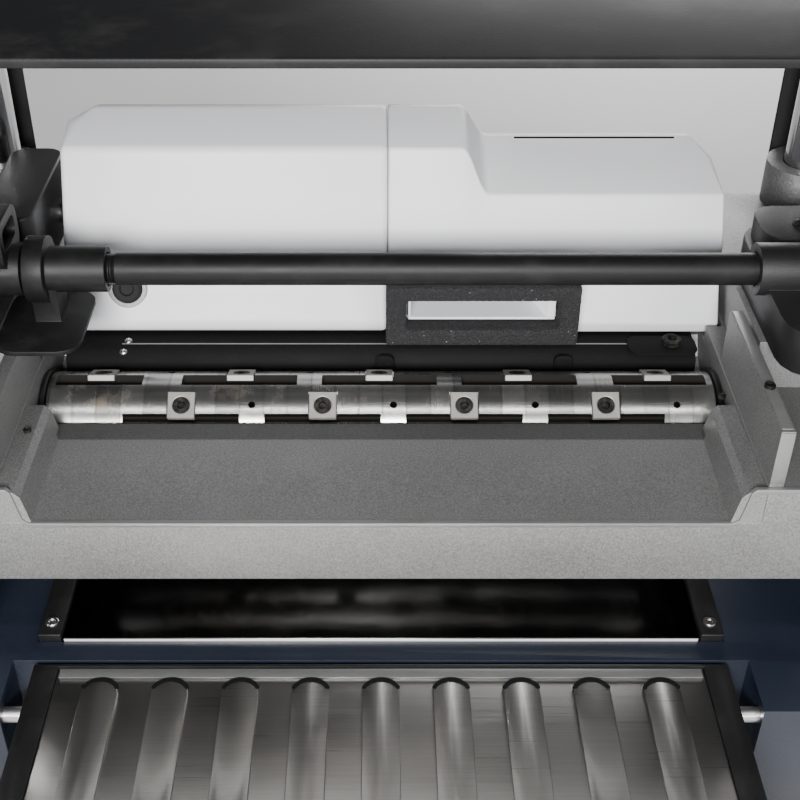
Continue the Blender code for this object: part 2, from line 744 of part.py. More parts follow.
def make_rollers():
    for name, end, material in (("infeed", -1, "steel"), ("outfeed", 1, "rubber")):
        y = end * ROLLER_Y
        barrel = head_rod(y, ROLLER_Z, ROLLER_RADIUS, -ROLLER_HALF, ROLLER_HALF)
        journal = head_rod(y, ROLLER_Z, ROLLER_JOURNAL, -POCKET_IN + 2, PULLEY_OUT, SMALL_ROUND)
        wheel = head_profile(toothed((y, ROLLER_Z), ROLLER_RADIUS - 2, 2, 12), PULLEY_IN, PULLEY_IN + 6)
        piece(f"{name}_roller", material, [barrel, journal, wheel], pivot=(hx(0), hy(y), hz(ROLLER_Z)))


def make_motor():
    pivot = (hx(0), hy(MOTOR_Y), hz(MOTOR_Z))
    can = head_tube(MOTOR_Y, MOTOR_Z, MOTOR_RADIUS, MOTOR_RADIUS - MOTOR_WALL, MOTOR_LEFT, MOTOR_RIGHT)
    saddle_top = MOTOR_Z - MOTOR_RADIUS + MOTOR_WALL - 1
    saddle = head_block((MOTOR_LEFT + 15, MOTOR_Y - 12, DECK_Z + GAP),
                        (MOTOR_RIGHT - 15, MOTOR_Y + 12, saddle_top))
    piece("motor_housing", "black_plastic", [can, saddle])
    ends = (MOTOR_LEFT - GAP - 6, MOTOR_LEFT - GAP)
    piece("motor_end_bell", "cast_aluminium",
          [head_tube(MOTOR_Y, MOTOR_Z, MOTOR_RADIUS, SHAFT_RADIUS + RUN, *ends)])
    shaft = head_rod(MOTOR_Y, MOTOR_Z, SHAFT_RADIUS, -PULLEY_OUT, FAN_LEFT + FAN_WIDTH + 8)
    rotor_radius = MOTOR_RADIUS - MOTOR_WALL - ROTOR_GAP
    core = head_rod(MOTOR_Y, MOTOR_Z, rotor_radius, MOTOR_LEFT + 12, MOTOR_RIGHT - 12)
    piece("motor_rotor", "steel", [shaft, core], pivot=pivot)
    pulley = head_tube(MOTOR_Y, MOTOR_Z, PULLEY_RADIUS, SHAFT_RADIUS + GAP, -PULLEY_OUT, -PULLEY_IN)
    piece("motor_pulley", "steel", [pulley], pivot=pivot)
    blades = head_profile(fan_outline(), FAN_LEFT, FAN_LEFT + FAN_WIDTH - 1)
    disc = head_rod(MOTOR_Y, MOTOR_Z, FAN_RADIUS, FAN_LEFT + FAN_WIDTH - 3, FAN_LEFT + FAN_WIDTH)
    bore = head_rod(MOTOR_Y, MOTOR_Z, SHAFT_RADIUS + GAP, FAN_LEFT - 1, FAN_LEFT + FAN_WIDTH + 1)
    piece("chip_fan", "black_plastic", [blades, disc], [bore], pivot=pivot)
    wheels = ((hy(0), hz(0)), (hy(MOTOR_Y), hz(MOTOR_Z)))
    inner = PULLEY_RADIUS + GAP
    belt = band("X", stadium(*wheels, inner + BELT_THICK), stadium(*wheels, inner),
                hx(1 - PULLEY_OUT), hx(-1 - PULLEY_IN))
    piece("drive_belt", "rubber", [belt])
    box = block((COLUMN_X - BOX_INSET + 1, -BOX_HALF_Y + 8, hz(CAST_BOTTOM + 2)),
                (CAST_HALF_X - BOX_WALL - 1, SCREW_Y - 3 * SCREW_RADIUS - 1, hz(DECK_Z) - 1))
    piece("feed_gearbox", "cast_aluminium", [box])


def fan_outline():
    """Straight radial blades on a round hub."""
    outline = []
    for number in range(FAN_BLADES):
        middle = 2 * math.pi * (number + 0.3) / FAN_BLADES
        for reach, side in ((FAN_HUB, -1), (FAN_RADIUS - 1, -1), (FAN_RADIUS - 1, 1), (FAN_HUB, 1)):
            angle = middle + side * FAN_BLADE_HALF / reach
            outline.append((MOTOR_Y + reach * math.cos(angle), MOTOR_Z + reach * math.sin(angle)))
    return outline


# Hood, gasket, chute and covers

def hood_section(x, inset):
    """The hood's (y, z) section at x from the head; inset moves every side inwards."""
    step = min(1.0, max(0.0, (x - HOOD_STEP_START) / (HOOD_STEP_END - HOOD_STEP_START)))
    folds = [(HOOD_FRONT + behind + inset, z) for behind, z in HOOD_FOLDS]
    crease = (HOOD_CREASE_Y - HOOD_STEP_BACK * step + inset * 0.9,
              HOOD_CREASE_Z - HOOD_STEP_DROP * step - inset * 0.4)
    top = HOOD_APEX_Z - HOOD_APEX_DROP * step - inset
    return [*folds, crease, (HOOD_APEX_Y, top), (HOOD_APEX_Y + 12, top - 4),
            (HOOD_BACK - 6 - inset, top - 18), (HOOD_BACK - inset, 80), (HOOD_BACK - inset, HOOD_BOTTOM)]


def hood_shape(stations, inset, bottom):
    """A loft of hood sections; stations are (x, lean) pairs and bottom is the lowest z."""
    rings = []
    for x, lean in stations:
        section = hood_section(x, inset)
        section[0] = (section[0][0], bottom)
        section[-1] = (section[-1][0], bottom)
        rings.append([(hx(x + lean * share), hy(y), hz(z)) for (y, z), share in zip(section, HOOD_LEANS)])
    return loft(rings)


def make_hood():
    left_out = [(HOOD_LEFT, HOOD_LEAN), (HOOD_SEAM - GAP, 0)]
    left_in = [(HOOD_LEFT + HOOD_WALL, HOOD_LEAN), (HOOD_SEAM + 5, 0)]
    shaft = head_rod(MOTOR_Y, MOTOR_Z, SHAFT_RADIUS + 2, HOOD_LEFT - 2, HOOD_LEFT + 20, SMALL_ROUND)
    piece("hood_left", "white_plastic", [hood_shape(left_out, 0, HOOD_BOTTOM)],
          [hood_shape(left_in, HOOD_WALL, HOOD_BOTTOM - 10), shaft])

    step = [(HOOD_STEP_START, 0), (HOOD_STEP_END, 0)]
    right_out = [(HOOD_SEAM + GAP, 0), *step, (HOOD_RIGHT, -HOOD_LEAN)]
    right_in = [(HOOD_SEAM - 5, 0), *step, (HOOD_RIGHT - HOOD_WALL, -HOOD_LEAN)]
    inlet = head_block((CHUTE_LEFT, 25, CHUTE_LOW), (CHUTE_RIGHT, 75, CHUTE_HIGH))
    centre = (hx(PORT_X), hz(PORT_Z))
    outlet = rod("Y", centre, PORT_RADIUS - PORT_WALL, hy(HOOD_BACK - 12), hy(HOOD_BACK + 5))
    piece("hood_right", "white_plastic", [hood_shape(right_out, 0, HOOD_BOTTOM)],
          [hood_shape(right_in, HOOD_WALL, HOOD_BOTTOM - 10), inlet, outlet])

    port_low = hy(HOOD_BACK) + GAP
    flange = tube("Y", centre, PORT_RADIUS + PORT_FLANGE, PORT_RADIUS - PORT_WALL, port_low, port_low + 3)
    pipe = tube("Y", centre, PORT_RADIUS, PORT_RADIUS - PORT_WALL, port_low + 1, port_low + PORT_LENGTH)
    piece("dust_port", "black_plastic", [flange, pipe])


def hood_front(z):
    """Where the hood's front face is at height z, up to the last fold."""
    for (near, low), (far, high) in zip(HOOD_FOLDS, HOOD_FOLDS[1:]):
        if low <= z <= high:
            return HOOD_FRONT + near + (far - near) * (z - low) / (high - low)
    raise ValueError(f"no fold of the hood at {z}")


def make_gasket():
    """Foam block round the chip inlet, shaped to the hood's front, and the duct that passes through it."""
    low = HOOD_BOTTOM + GASKET_LIFT
    seats = [GASKET_TOP, HOOD_FOLDS[2][1], HOOD_FOLDS[1][1], low]
    back = [(hood_front(z) - GASKET_SEAT, z) for z in seats]
    outline = [(GASKET_FRONT, low), (GASKET_FRONT, GASKET_TOP), *back]
    ring = head_profile(outline, CHUTE_LEFT - GASKET_BORDER, CHUTE_RIGHT + GASKET_BORDER)
    inlet = head_block((CHUTE_LEFT, 20, CHUTE_LOW), (CHUTE_RIGHT, 75, CHUTE_HIGH))
    piece("foam_gasket", "foam", [ring], [inlet])
    outer = head_block((CHUTE_LEFT + GAP, HOOD_FRONT - 3, CHUTE_LOW + GAP),
                       (CHUTE_RIGHT - GAP, HOOD_FRONT + 21, CHUTE_HIGH - GAP))
    wall = GAP + CHUTE_WALL
    bore = head_block((CHUTE_LEFT + wall, HOOD_FRONT - 8, CHUTE_LOW + wall),
                      (CHUTE_RIGHT - wall, HOOD_FRONT + 27, CHUTE_HIGH - wall))
    piece("chip_chute", "white_plastic", [outer], [bore])


def make_deflector():
    """Bent sheet that carries chips from the head up to the hood."""
    near = CUT_RADIUS + DEFLECTOR_CLEAR
    far = near + DEFLECTOR_THICK
    back = HOOD_FRONT + DEFLECTOR_REACH
    high = HOOD_BOTTOM - 1.2
    low = high - DEFLECTOR_THICK - 0.2
    outline = [(back, high - 0.4), (near + 7.4, high), (near + 0.8, high - 6.3), (near, DEFLECTOR_FOOT_Z),
               (far, DEFLECTOR_FOOT_Z), (far + 0.8, high - 7.3), (far + 6.2, low), (back, low - 0.4)]
    piece("chip_deflector", "black_steel", [head_profile(outline, -HEAD_HALF + 2, HEAD_HALF - 2)])


def head_plan(low, high, radius):
    """A round-cornered rectangle seen from above, from the head."""
    return [(hx(x), hy(y)) for x, y in rounded(low, high, radius)]


def lock_rod(radius, left, right):
    """A round bar on the lock shaft's axis."""
    return head_rod(LOCK_Y, LOCK_Z, radius, left, right)


def make_lock():
    """Cross shaft with its lever and the bracket that carries it."""
    pivot = (hx(0), hy(LOCK_Y), hz(LOCK_Z))
    plate_low = SIDE_REAR_TOP + GAP
    plate_top = plate_low + LOCK_PLATE_THICK
    corners = ((LOCK_PLATE_LEFT, LOCK_PLATE_FRONT), (LOCK_PLATE_RIGHT, LOCK_PLATE_REAR))
    plate = extrusion("Z", head_plan(*corners, 11), hz(plate_low), hz(plate_top))
    hub = lock_rod(HUB_RADIUS, HUB_LEFT - 1, HUB_RIGHT)
    disc = lock_rod(DISC_RADIUS, DISC_LEFT, HUB_LEFT)
    web = head_block((DISC_LEFT + 1, LOCK_Y - LOCK_WEB_HALF, plate_top - 1),
                     (HUB_LEFT + 4, LOCK_Y + LOCK_WEB_HALF, LOCK_Z))
    bore = lock_rod(LOCK_RADIUS + RUN, DISC_LEFT - 2, HUB_RIGHT + 2)
    piece("lock_bracket", "black_steel", [plate, web, disc, hub], [bore])
    piece("lock_shaft", "black_steel", [lock_rod(LOCK_RADIUS, LOCK_LEFT, LOCK_RIGHT)], pivot=pivot)

    grip_right = GRIP_LEFT + GRIP_LENGTH
    collar = lock_rod(LOCK_RADIUS + COLLAR_WALL, DISC_LEFT - 17, DISC_LEFT - 2)
    loop = loop_band((-15, 5), (17, 30), 8, 0)
    gap = loop_band((-10, 14), (12, 25), 4, 2)
    arm = head_block((LOOP_LEFT - 10, LOCK_Y - LEVER_REACH, LOCK_Z - LEVER_HALF),
                     (LOOP_LEFT, LOCK_Y, LOCK_Z + LEVER_HALF))
    grip = head_rod(LOCK_Y - LEVER_REACH, LOCK_Z, GRIP_RADIUS, GRIP_LEFT, grip_right, SMALL_ROUND)
    bore = lock_rod(LOCK_RADIUS + GAP, LOCK_LEFT - 2, DISC_LEFT + 2)
    piece("lock_lever", "black_steel", [collar, loop, arm, grip], [gap, bore], pivot=pivot)


def loop_band(low, high, radius, extra):
    """A round-cornered block on the lever; corners are (y, z) from the shaft."""
    outline = [(y + LOCK_Y, z + LOCK_Z) for y, z in rounded(low, high, radius)]
    return head_profile(outline, LOOP_LEFT - extra, LOOP_LEFT + LOOP_WIDTH + extra)


def cover_shell(low, high, edge, top):
    """The outside of a cover and the hollow in it, open below."""
    floor = SIDE_REAR_TOP + GAP
    shell = extrusion("Z", head_plan(low, high, edge), hz(floor), hz(top))
    inner_low = [value + COVER_WALL for value in low]
    inner_high = [value - COVER_WALL for value in high]
    hollow = extrusion("Z", head_plan(inner_low, inner_high, edge - COVER_WALL), hz(floor - 5),
                       hz(top - COVER_WALL))
    return shell, hollow


def make_left_cover():
    """Cover over the belt's upper pulley."""
    reach = PULLEY_RADIUS + GAP + BELT_THICK + RUN
    low = (-PULLEY_OUT - COVER_WALL - 3, LEFT_COVER_FRONT)
    high = (LEFT_COVER_IN, MOTOR_Y + reach + COVER_WALL)
    shell, hollow = cover_shell(low, high, LEFT_COVER_EDGE, LEFT_COVER_TOP)
    half = SHAFT_RADIUS + 2
    slot = head_block((LEFT_COVER_IN - 8, MOTOR_Y - half, SIDE_REAR_TOP - 5),
                      (LEFT_COVER_IN + 7, MOTOR_Y + half, MOTOR_Z + half))
    piece("left_cover", "black_plastic", [shell], [hollow, slot])


def make_right_cover():
    """Cover over the feed drive, with a saddle that takes the lock shaft's end."""
    low = (RIGHT_COVER_IN, RIGHT_COVER_FRONT)
    high = (RIGHT_COVER_OUT, RIGHT_COVER_REAR)
    shell, hollow = cover_shell(low, high, RIGHT_COVER_EDGE, RIGHT_COVER_TOP)
    hump_plan = head_plan((RIGHT_COVER_IN + HUMP_INSET, HUMP_FRONT),
                          (RIGHT_COVER_OUT - HUMP_INSET, RIGHT_COVER_REAR - COVER_WALL), 12)
    hump = extrusion("Z", hump_plan, hz(RIGHT_COVER_TOP - 1), hz(HUMP_TOP))
    saddle = lock_rod(LOCK_RADIUS + SADDLE_WALL, RIGHT_COVER_IN - 5, RIGHT_COVER_OUT - HUMP_INSET)
    bore = lock_rod(LOCK_RADIUS + RUN, RIGHT_COVER_IN - 9, LOCK_RIGHT + 2)
    trim = head_block((RIGHT_COVER_IN - 9, -30, SIDE_REAR_TOP - 20), (RIGHT_COVER_IN, 40, LOCK_Z - 14))
    piece("right_cover", "black_plastic", [shell, hump, saddle], [hollow, bore, trim])


# Controls

def make_controls():
    face = -PANEL_HALF_Y - GAP
    front = face - SWITCH_DEPTH
    housing = block((SWITCH_X - SWITCH_HALF, front, SWITCH_LOW), (SWITCH_X + SWITCH_HALF, face, SWITCH_HIGH))
    hinge = (front - PADDLE_STANDOFF - PADDLE_THICK / 2, SWITCH_HIGH - 8)
    ears = []
    for _, side in SIDES:
        inner = (SWITCH_X + side * (PADDLE_HALF + RUN), front + 1, hinge[1] - 5)
        outer = (SWITCH_X + side * (SWITCH_HALF - 1), hinge[0] - 4, hinge[1] + 5)
        ears.append(block_between(inner, outer))
    button = (SWITCH_X, SWITCH_LOW + 12)
    well = rod("Y", button, BUTTON_RADIUS + RUN, front - 5, front + 12, SMALL_ROUND)
    ear_bore = rod("X", hinge, 1.5 + GAP, SWITCH_X - SWITCH_HALF, SWITCH_X + SWITCH_HALF, SMALL_ROUND)
    piece("switch_housing", "black_plastic", [housing, *ears], [well, ear_bore])
    paddle = block((SWITCH_X - PADDLE_HALF, hinge[0] - PADDLE_THICK / 2, SWITCH_LOW + 24),
                   (SWITCH_X + PADDLE_HALF, hinge[0] + PADDLE_THICK / 2, hinge[1] + 4))
    stub = rod("X", hinge, 1.5, SWITCH_X - SWITCH_HALF + 3, SWITCH_X + SWITCH_HALF - 3, SMALL_ROUND)
    piece("switch_paddle", "red_plastic", [paddle, stub], pivot=(SWITCH_X, *hinge))
    plunger = rod("Y", button, BUTTON_RADIUS, front - 5, front + 12 - BUTTON_TRAVEL - 1, SMALL_ROUND)
    piece("reset_button", "red_plastic", [plunger], pivot=(button[0], front, button[1]))

    knob_x = -(BASE_HALF_X - 32)
    knob_z = FOOT_HEIGHT + 36
    far = -BASE_HALF_Y - GAP
    knob = extrusion("Y", toothed((knob_x, knob_z), STOP_KNOB_RADIUS, 1.5, 8), far - STOP_KNOB_DEPTH, far)
    piece("depth_stop_knob", "black_plastic", [knob], pivot=(knob_x, far, knob_z))
    gland = tube("Y", (BASE_HALF_X - 40, knob_z), GLAND_RADIUS, GLAND_BORE, BASE_HALF_Y + GAP,
                 BASE_HALF_Y + GLAND_LENGTH, SMALL_ROUND)
    piece("cable_gland", "black_plastic", [gland])


def main():
    clear_scene()
    make_base()
    make_feet()
    make_table()
    make_columns()
    make_side_frames()
    make_top_plate()
    make_height_drive()
    make_leaves()
    make_casting()
    make_cutterhead()
    make_rollers()
    make_motor()
    make_hood()
    make_gasket()
    make_deflector()
    make_lock()
    make_left_cover()
    make_right_cover()
    make_controls()


main()
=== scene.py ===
"""Looks of a benchtop thickness planer with its top cover off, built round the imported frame."""

import json
import math

import bpy
from bpy.props import FloatProperty, FloatVectorProperty, IntProperty, PointerProperty
from mathutils import Matrix, Vector

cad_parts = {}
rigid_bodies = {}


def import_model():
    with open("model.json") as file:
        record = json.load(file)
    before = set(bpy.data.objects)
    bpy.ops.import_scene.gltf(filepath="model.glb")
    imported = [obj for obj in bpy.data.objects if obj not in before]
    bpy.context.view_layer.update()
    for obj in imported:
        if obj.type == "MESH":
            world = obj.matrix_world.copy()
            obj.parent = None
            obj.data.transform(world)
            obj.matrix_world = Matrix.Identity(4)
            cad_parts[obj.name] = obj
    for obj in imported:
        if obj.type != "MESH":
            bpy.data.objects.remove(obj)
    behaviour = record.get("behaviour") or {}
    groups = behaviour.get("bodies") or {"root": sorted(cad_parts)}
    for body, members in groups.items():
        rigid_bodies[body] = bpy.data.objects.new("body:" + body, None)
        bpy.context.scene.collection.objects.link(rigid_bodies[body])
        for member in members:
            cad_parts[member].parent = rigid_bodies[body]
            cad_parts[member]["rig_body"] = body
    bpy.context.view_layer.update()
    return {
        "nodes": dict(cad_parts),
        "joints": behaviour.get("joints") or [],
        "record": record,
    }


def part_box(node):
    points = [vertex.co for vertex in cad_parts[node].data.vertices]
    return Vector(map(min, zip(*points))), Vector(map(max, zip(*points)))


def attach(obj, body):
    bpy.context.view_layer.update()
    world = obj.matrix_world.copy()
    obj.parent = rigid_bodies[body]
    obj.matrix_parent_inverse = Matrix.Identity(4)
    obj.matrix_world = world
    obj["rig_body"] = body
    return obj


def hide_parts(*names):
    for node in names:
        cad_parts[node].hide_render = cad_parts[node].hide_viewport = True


bl_info = {
    "name": "Thickness planer",
    "version": (1, 0, 0),
    "blender": (4, 5, 0),
    "location": "View3D > Sidebar > Planer",
    "description": "Builds the visible pieces of a benchtop thickness planer",
    "category": "Add Mesh",
}

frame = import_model()
NODES = frame["nodes"]
JOINTS = {joint["name"]: joint for joint in frame["joints"]}
HEAD = Vector(JOINTS["cutterhead_spin"]["pos_m"])
LOCK = Vector(JOINTS["lock_turn"]["pos_m"])
MM = 0.001
TURN = 2 * math.pi
FLAT_PITCH = 0.0122     # spacing of the faint flats along the head
UP = (0, 0, 1)
CLEAR = 0.000005        # points closer than this are one point

# ---- sizes and colours a user would change


LENGTH = {"subtype": "DISTANCE", "unit": "LENGTH"}
TINT = {"subtype": "COLOR"}


class PlanerSizes(bpy.types.PropertyGroup):
    """Sizes of the visible detail."""
    cast_edge: FloatProperty(name="Cast edge round", description="Round on the casting's edges",
                             default=0.0016, **LENGTH)
    insert: FloatProperty(name="Insert side", description="Side of a square carbide insert",
                          default=0.014, **LENGTH)
    insert_pitch: FloatProperty(name="Insert pitch", description="Distance between inserts in a row",
                                default=0.0724, **LENGTH)
    gullet_length: FloatProperty(name="Gullet length", description="Length of the chip pocket before an insert",
                                 default=0.0596, **LENGTH)
    rows: IntProperty(name="Rows", description="Rows of inserts round the head", default=6, min=2)
    rib_count: IntProperty(name="Ribs", description="Pressed ribs on each extension table", default=9, min=1)
    rib_width: FloatProperty(name="Rib width", description="Width of a pressed rib", default=0.0185, **LENGTH)


class PlanerColours(bpy.types.PropertyGroup):
    """Base colours of the finishes."""
    casting: FloatVectorProperty(name="Casting", description="Sand-cast aluminium",
                                 default=(0.25, 0.248, 0.245), **TINT)
    hood: FloatVectorProperty(name="Hood", description="Moulded hood plastic",
                              default=(0.74, 0.745, 0.77), **TINT)
    paint: FloatVectorProperty(name="Paint", description="Base paint", default=(0.008, 0.0115, 0.021), **TINT)
    black: FloatVectorProperty(name="Black", description="Black coating and plastic",
                               default=(0.0055, 0.0055, 0.006), **TINT)
    foam: FloatVectorProperty(name="Foam", description="Gasket foam", default=(0.010, 0.010, 0.011), **TINT)
    steel: FloatVectorProperty(name="Steel", description="Machined steel", default=(0.47, 0.465, 0.45), **TINT)
    resin: FloatVectorProperty(name="Resin", description="Wood resin on the head",
                               default=(0.33, 0.22, 0.08), **TINT)


def sizes():
    return bpy.context.scene.planer_sizes


def colours():
    return bpy.context.scene.planer_colours


# ---- shader sums


class Wire:
    """A node's output that takes part in Python sums."""

    def __init__(self, tree, socket):
        self.tree = tree
        self.socket = socket

    def node(self, kind, settings=None, inputs=None, output=0):
        """Adds a node, applies its settings, fills its sockets, and wraps one output."""
        made = self.tree.nodes.new(kind)
        for name, value in (settings or {}).items():
            if name == "stops":
                ramp = made.color_ramp
                while len(ramp.elements) < len(value):
                    ramp.elements.new(0.5)
                for element, (place, shade) in zip(ramp.elements, value):
                    element.position = place
                    element.color = (shade, shade, shade, 1.0)
            else:
                setattr(made, name, value)
        for name, value in (inputs or {}).items():
            self.fill(made.inputs[name], value)
        return Wire(self.tree, made.outputs[output])

    def fill(self, socket, value):
        """Links a wire to a socket, or sets a constant on it."""
        if isinstance(value, Wire):
            self.tree.links.new(value.socket, socket)
        else:
            socket.default_value = value

    def maths(self, operation, other=0.0, swapped=False):
        """A Math node on this value and another, in either order."""
        pair = {0: other, 1: self} if swapped else {0: self, 1: other}
        return self.node("ShaderNodeMath", {"operation": operation}, pair)

    def __add__(self, other):
        return self.maths("ADD", other)

    __radd__ = __add__

    def __mul__(self, other):
        return self.maths("MULTIPLY", other)

    __rmul__ = __mul__

    def __sub__(self, other):
        return self.maths("SUBTRACT", other)

    def __rsub__(self, other):
        return self.maths("SUBTRACT", other, True)

    def clamped(self):
        return self.node("ShaderNodeClamp", {}, {"Value": self})

    def steps(self, *stops):
        """A ramp through (place, value) stops."""
        return self.node("ShaderNodeValToRGB", {"stops": stops}, {"Fac": self})

    def between(self, first, second):
        """Mixes two colours by this value."""
        return self.node("ShaderNodeMix", {"data_type": "RGBA"}, {"Factor": self, 6: first, 7: second}, 2)

    def stretched(self, scale):
        """These coordinates scaled along each axis."""
        return self.node("ShaderNodeMapping", {}, {"Vector": self, "Scale": scale})

    def noise(self, scale, detail=2.0, rough=0.5):
        return self.node("ShaderNodeTexNoise", {}, {"Vector": self, "Scale": scale, "Detail": detail,
                                                    "Roughness": rough})

    def cells(self, scale, feature="F1"):
        return self.node("ShaderNodeTexVoronoi", {"feature": feature}, {"Vector": self, "Scale": scale})

    def part(self, axis):
        return self.node("ShaderNodeSeparateXYZ", {}, {"Vector": self}, "XYZ".index(axis))

    def bump(self, strength, distance):
        return self.node("ShaderNodeBump", {}, {"Height": self, "Strength": strength, "Distance": distance})


def rgba(colour, gain=1.0):
    """A colour, or one grey value, as four numbers, lightened or darkened by a gain."""
    if isinstance(colour, float):
        colour = (colour, colour, colour)
    return (*[min(1.0, c * gain) for c in colour], 1.0)


def cast_aluminium(place):
    """Sand-cast aluminium: pebbled grain, mottling, painted glints on the proud grains, and a painted shade band
    on the shelf in front of the head.
    """
    colour = colours().casting
    grain = place.noise(1150.0, 3.0, 0.65)
    mottle = place.noise(28.0, 3.0, 0.6)
    # painted highlight: small bright cells lift the colour towards 2.4 times the casting's, as glints on the
    # grains
    painted_glints = place.cells(900.0).steps((0.0, 1.0), (0.16, 0.0))
    bright = (grain.steps((0.33, 0.0), (0.72, 1.0)) * 0.7 + mottle * 0.3).clamped()
    base = bright.between(rgba(colour, 0.5), rgba(colour, 1.3))
    # painted shade: a band of the shelf (Y -66 to -40 mm, below Z 188 mm) is darkened towards a sixth of the
    # casting colour
    shelf = (place.part("Y") * 1000.0 + 66.0).steps((0.0, 0.0), (1.0, 1.0)) \
        * (place.part("Y") * -1000.0 - 40.0).clamped() * (place.part("Z") * -1000.0 + 188.0).clamped()
    painted_shade = shelf * (mottle * 0.3 + 0.5)
    undarkened = (painted_glints * 0.3).between(base, rgba(colour, 2.4))
    shade = painted_shade.clamped().between(undarkened, rgba(colour, 0.16))
    rough = 0.42 + grain * 0.22
    height = grain * 0.7 + place.noise(420.0, 2.0) * 0.5
    return dict(Base_Color=shade, Metallic=0.78, Roughness=rough, Normal=height.bump(0.55, 0.0005))


def machined_aluminium(place):
    """Milled faces and rims of the casting: bright, with fine cutter marks."""
    marks = place.stretched((260.0, 2600.0, 2600.0)).noise(1.0, 3.0)
    wear = place.noise(60.0, 3.0)
    shade = (marks * 0.5 + wear * 0.5).between(rgba(0.17), rgba((0.31, 0.31, 0.305)))
    return dict(Base_Color=shade, Metallic=0.7, Roughness=0.34 + marks * 0.2, Normal=marks.bump(0.15, 0.0002))


def head_steel(place):
    """Turned steel of the cutterhead: rings round the axis, a faint flat every 12 mm, and resin stains."""
    along = place.part("X")
    rings = place.stretched((4200.0, 25.0, 25.0)).noise(1.0, 3.0)
    flats = along * (1 / FLAT_PITCH)
    bands = flats.maths("FRACT").steps((0.0, 1.0), (0.05, 0.0), (0.95, 0.0), (1.0, 1.0))
    facet = along.node("ShaderNodeTexWhiteNoise", {"noise_dimensions": "1D"}, {"W": flats.maths("FLOOR")})
    smear = place.noise(42.0, 4.0, 0.6)
    left = (along * -3.6 + 0.12).clamped()
    stain = (smear.steps((0.52, 0.0), (0.72, 1.0)) * (left * 0.55 + 0.1)).clamped()
    undarkened = (rings * 0.6 + smear * 0.4).between(rgba(colours().steel, 0.72), rgba(colours().steel, 1.12))
    varied = (facet * 0.8).between(undarkened, rgba(colours().steel, 0.36))
    ringed = (bands * 0.65).between(varied, rgba(colours().steel, 0.2))
    shade = stain.between(ringed, rgba(colours().resin))
    return dict(Base_Color=shade, Metallic=0.95 - stain * 0.4, Roughness=(0.2 + rings * 0.1 + stain * 0.25),
                Normal=(rings * 0.5).bump(0.08, 0.0001))


def painted_pocket_shade(place):
    """Unpolished floor of the chip pockets and walls of the tapped holes, nearly black as painted shade in these
    hollows.
    """
    pocket_mottle = place.noise(160.0, 4.0, 0.6)
    # painted shade: a near-black colour stands in for the shade inside the chip pockets and tapped holes
    shade = pocket_mottle.between(rgba(0.002), rgba((0.009, 0.0075, 0.005)))
    return dict(Base_Color=shade, Specular_IOR_Level=0.1, Roughness=0.5 + pocket_mottle * 0.25,
                Normal=pocket_mottle.bump(0.4, 0.0004))


def insert_carbide(place):
    """Ground carbide: fine grey, nearly even, with diagonal grinding lines."""
    lines = place.stretched((2600.0, 300.0, 900.0)).noise(1.0, 2.0)
    smut = place.noise(300.0, 3.0)
    shade = (lines * 0.5 + smut * 0.5).between(rgba((0.17, 0.165, 0.15)), rgba((0.36, 0.35, 0.33)))
    return dict(Base_Color=shade, Metallic=0.6, Roughness=0.42 + smut * 0.2, Normal=lines.bump(0.1, 0.0001))


def bright_steel(place):
    """Plain machined steel with light tool marks."""
    colour = (0.62, 0.61, 0.6)
    marks = place.stretched((900.0, 900.0, 900.0)).noise(1.0, 3.0)
    film = place.noise(55.0, 3.0)
    shade = (marks * 0.6 + film * 0.4).between(rgba(colour, 0.6), rgba(colour, 1.2))
    return dict(Base_Color=shade, Metallic=1.0, Roughness=0.2 + marks * 0.14 + film * 0.12,
                Normal=marks.bump(0.12, 0.0001))


def hard_chrome(place):
    """Ground and plated columns with faint rings and an oil film."""
    rings = place.stretched((60.0, 60.0, 1800.0)).noise(1.0, 2.0)
    film = place.noise(24.0, 4.0)
    shade = film.between(rgba(0.5), rgba((0.8, 0.8, 0.81)))
    return dict(Base_Color=shade, Metallic=1.0, Roughness=0.07 + rings * 0.08 + film * 0.06,
                Normal=rings.bump(0.04, 0.0001))


def hood_plastic(place):
    """White moulded plastic: fine grain, slight flow marks and a little dust."""
    colour = colours().hood
    grain = place.noise(1500.0, 2.0)
    flow = place.stretched((5.0, 22.0, 22.0)).noise(1.0, 4.0)
    patches = place.noise(14.0, 2.0).steps((0.45, 0.0), (0.7, 1.0))
    dust = place.cells(260.0).steps((0.0, 1.0), (0.05, 0.0)) * patches
    base = flow.between(rgba(colour, 0.92), rgba(colour, 1.04))
    shade = (dust * 0.5).between(base, rgba((0.42, 0.39, 0.34)))
    return dict(Base_Color=shade, Roughness=0.36 + flow * 0.1 + grain * 0.05,
                Normal=(grain * 0.5 + flow * 0.2).bump(0.1, 0.0002), Specular_IOR_Level=0.45)


def black_coat(place):
    """Black coated steel: fine orange peel, soft grey dust and rubbed spots."""
    peel = place.noise(900.0, 2.0)
    rub = place.noise(35.0, 5.0, 0.65)
    fine = place.noise(2400.0, 1.0).steps((0.62, 0.0), (0.8, 1.0))
    dust = rub.steps((0.5, 0.0), (0.8, 1.0)) * 0.6 + fine * 0.25
    shade = dust.clamped().between(rgba(colours().black), rgba((0.024, 0.0235, 0.023)))
    return dict(Base_Color=shade, Roughness=0.4 + rub * 0.2, Normal=peel.bump(0.18, 0.0003),
                Specular_IOR_Level=0.24)


def matt_black(place):
    """Phosphated sheet steel: nearly black and dull, with a little dust; also laid as painted shade on the walls
    cut through the hood and as painted shadow crescents on the extension tables.
    """
    dust = place.noise(900.0, 2.0).steps((0.6, 0.0), (0.85, 1.0))
    cloud = place.noise(40.0, 4.0)
    shade = (dust * 0.4).between(rgba(colours().black, 0.7), rgba(0.03))
    return dict(Base_Color=shade, Roughness=0.6 + cloud * 0.2, Specular_IOR_Level=0.12,
                Normal=place.noise(1200.0, 2.0).bump(0.15, 0.0002))


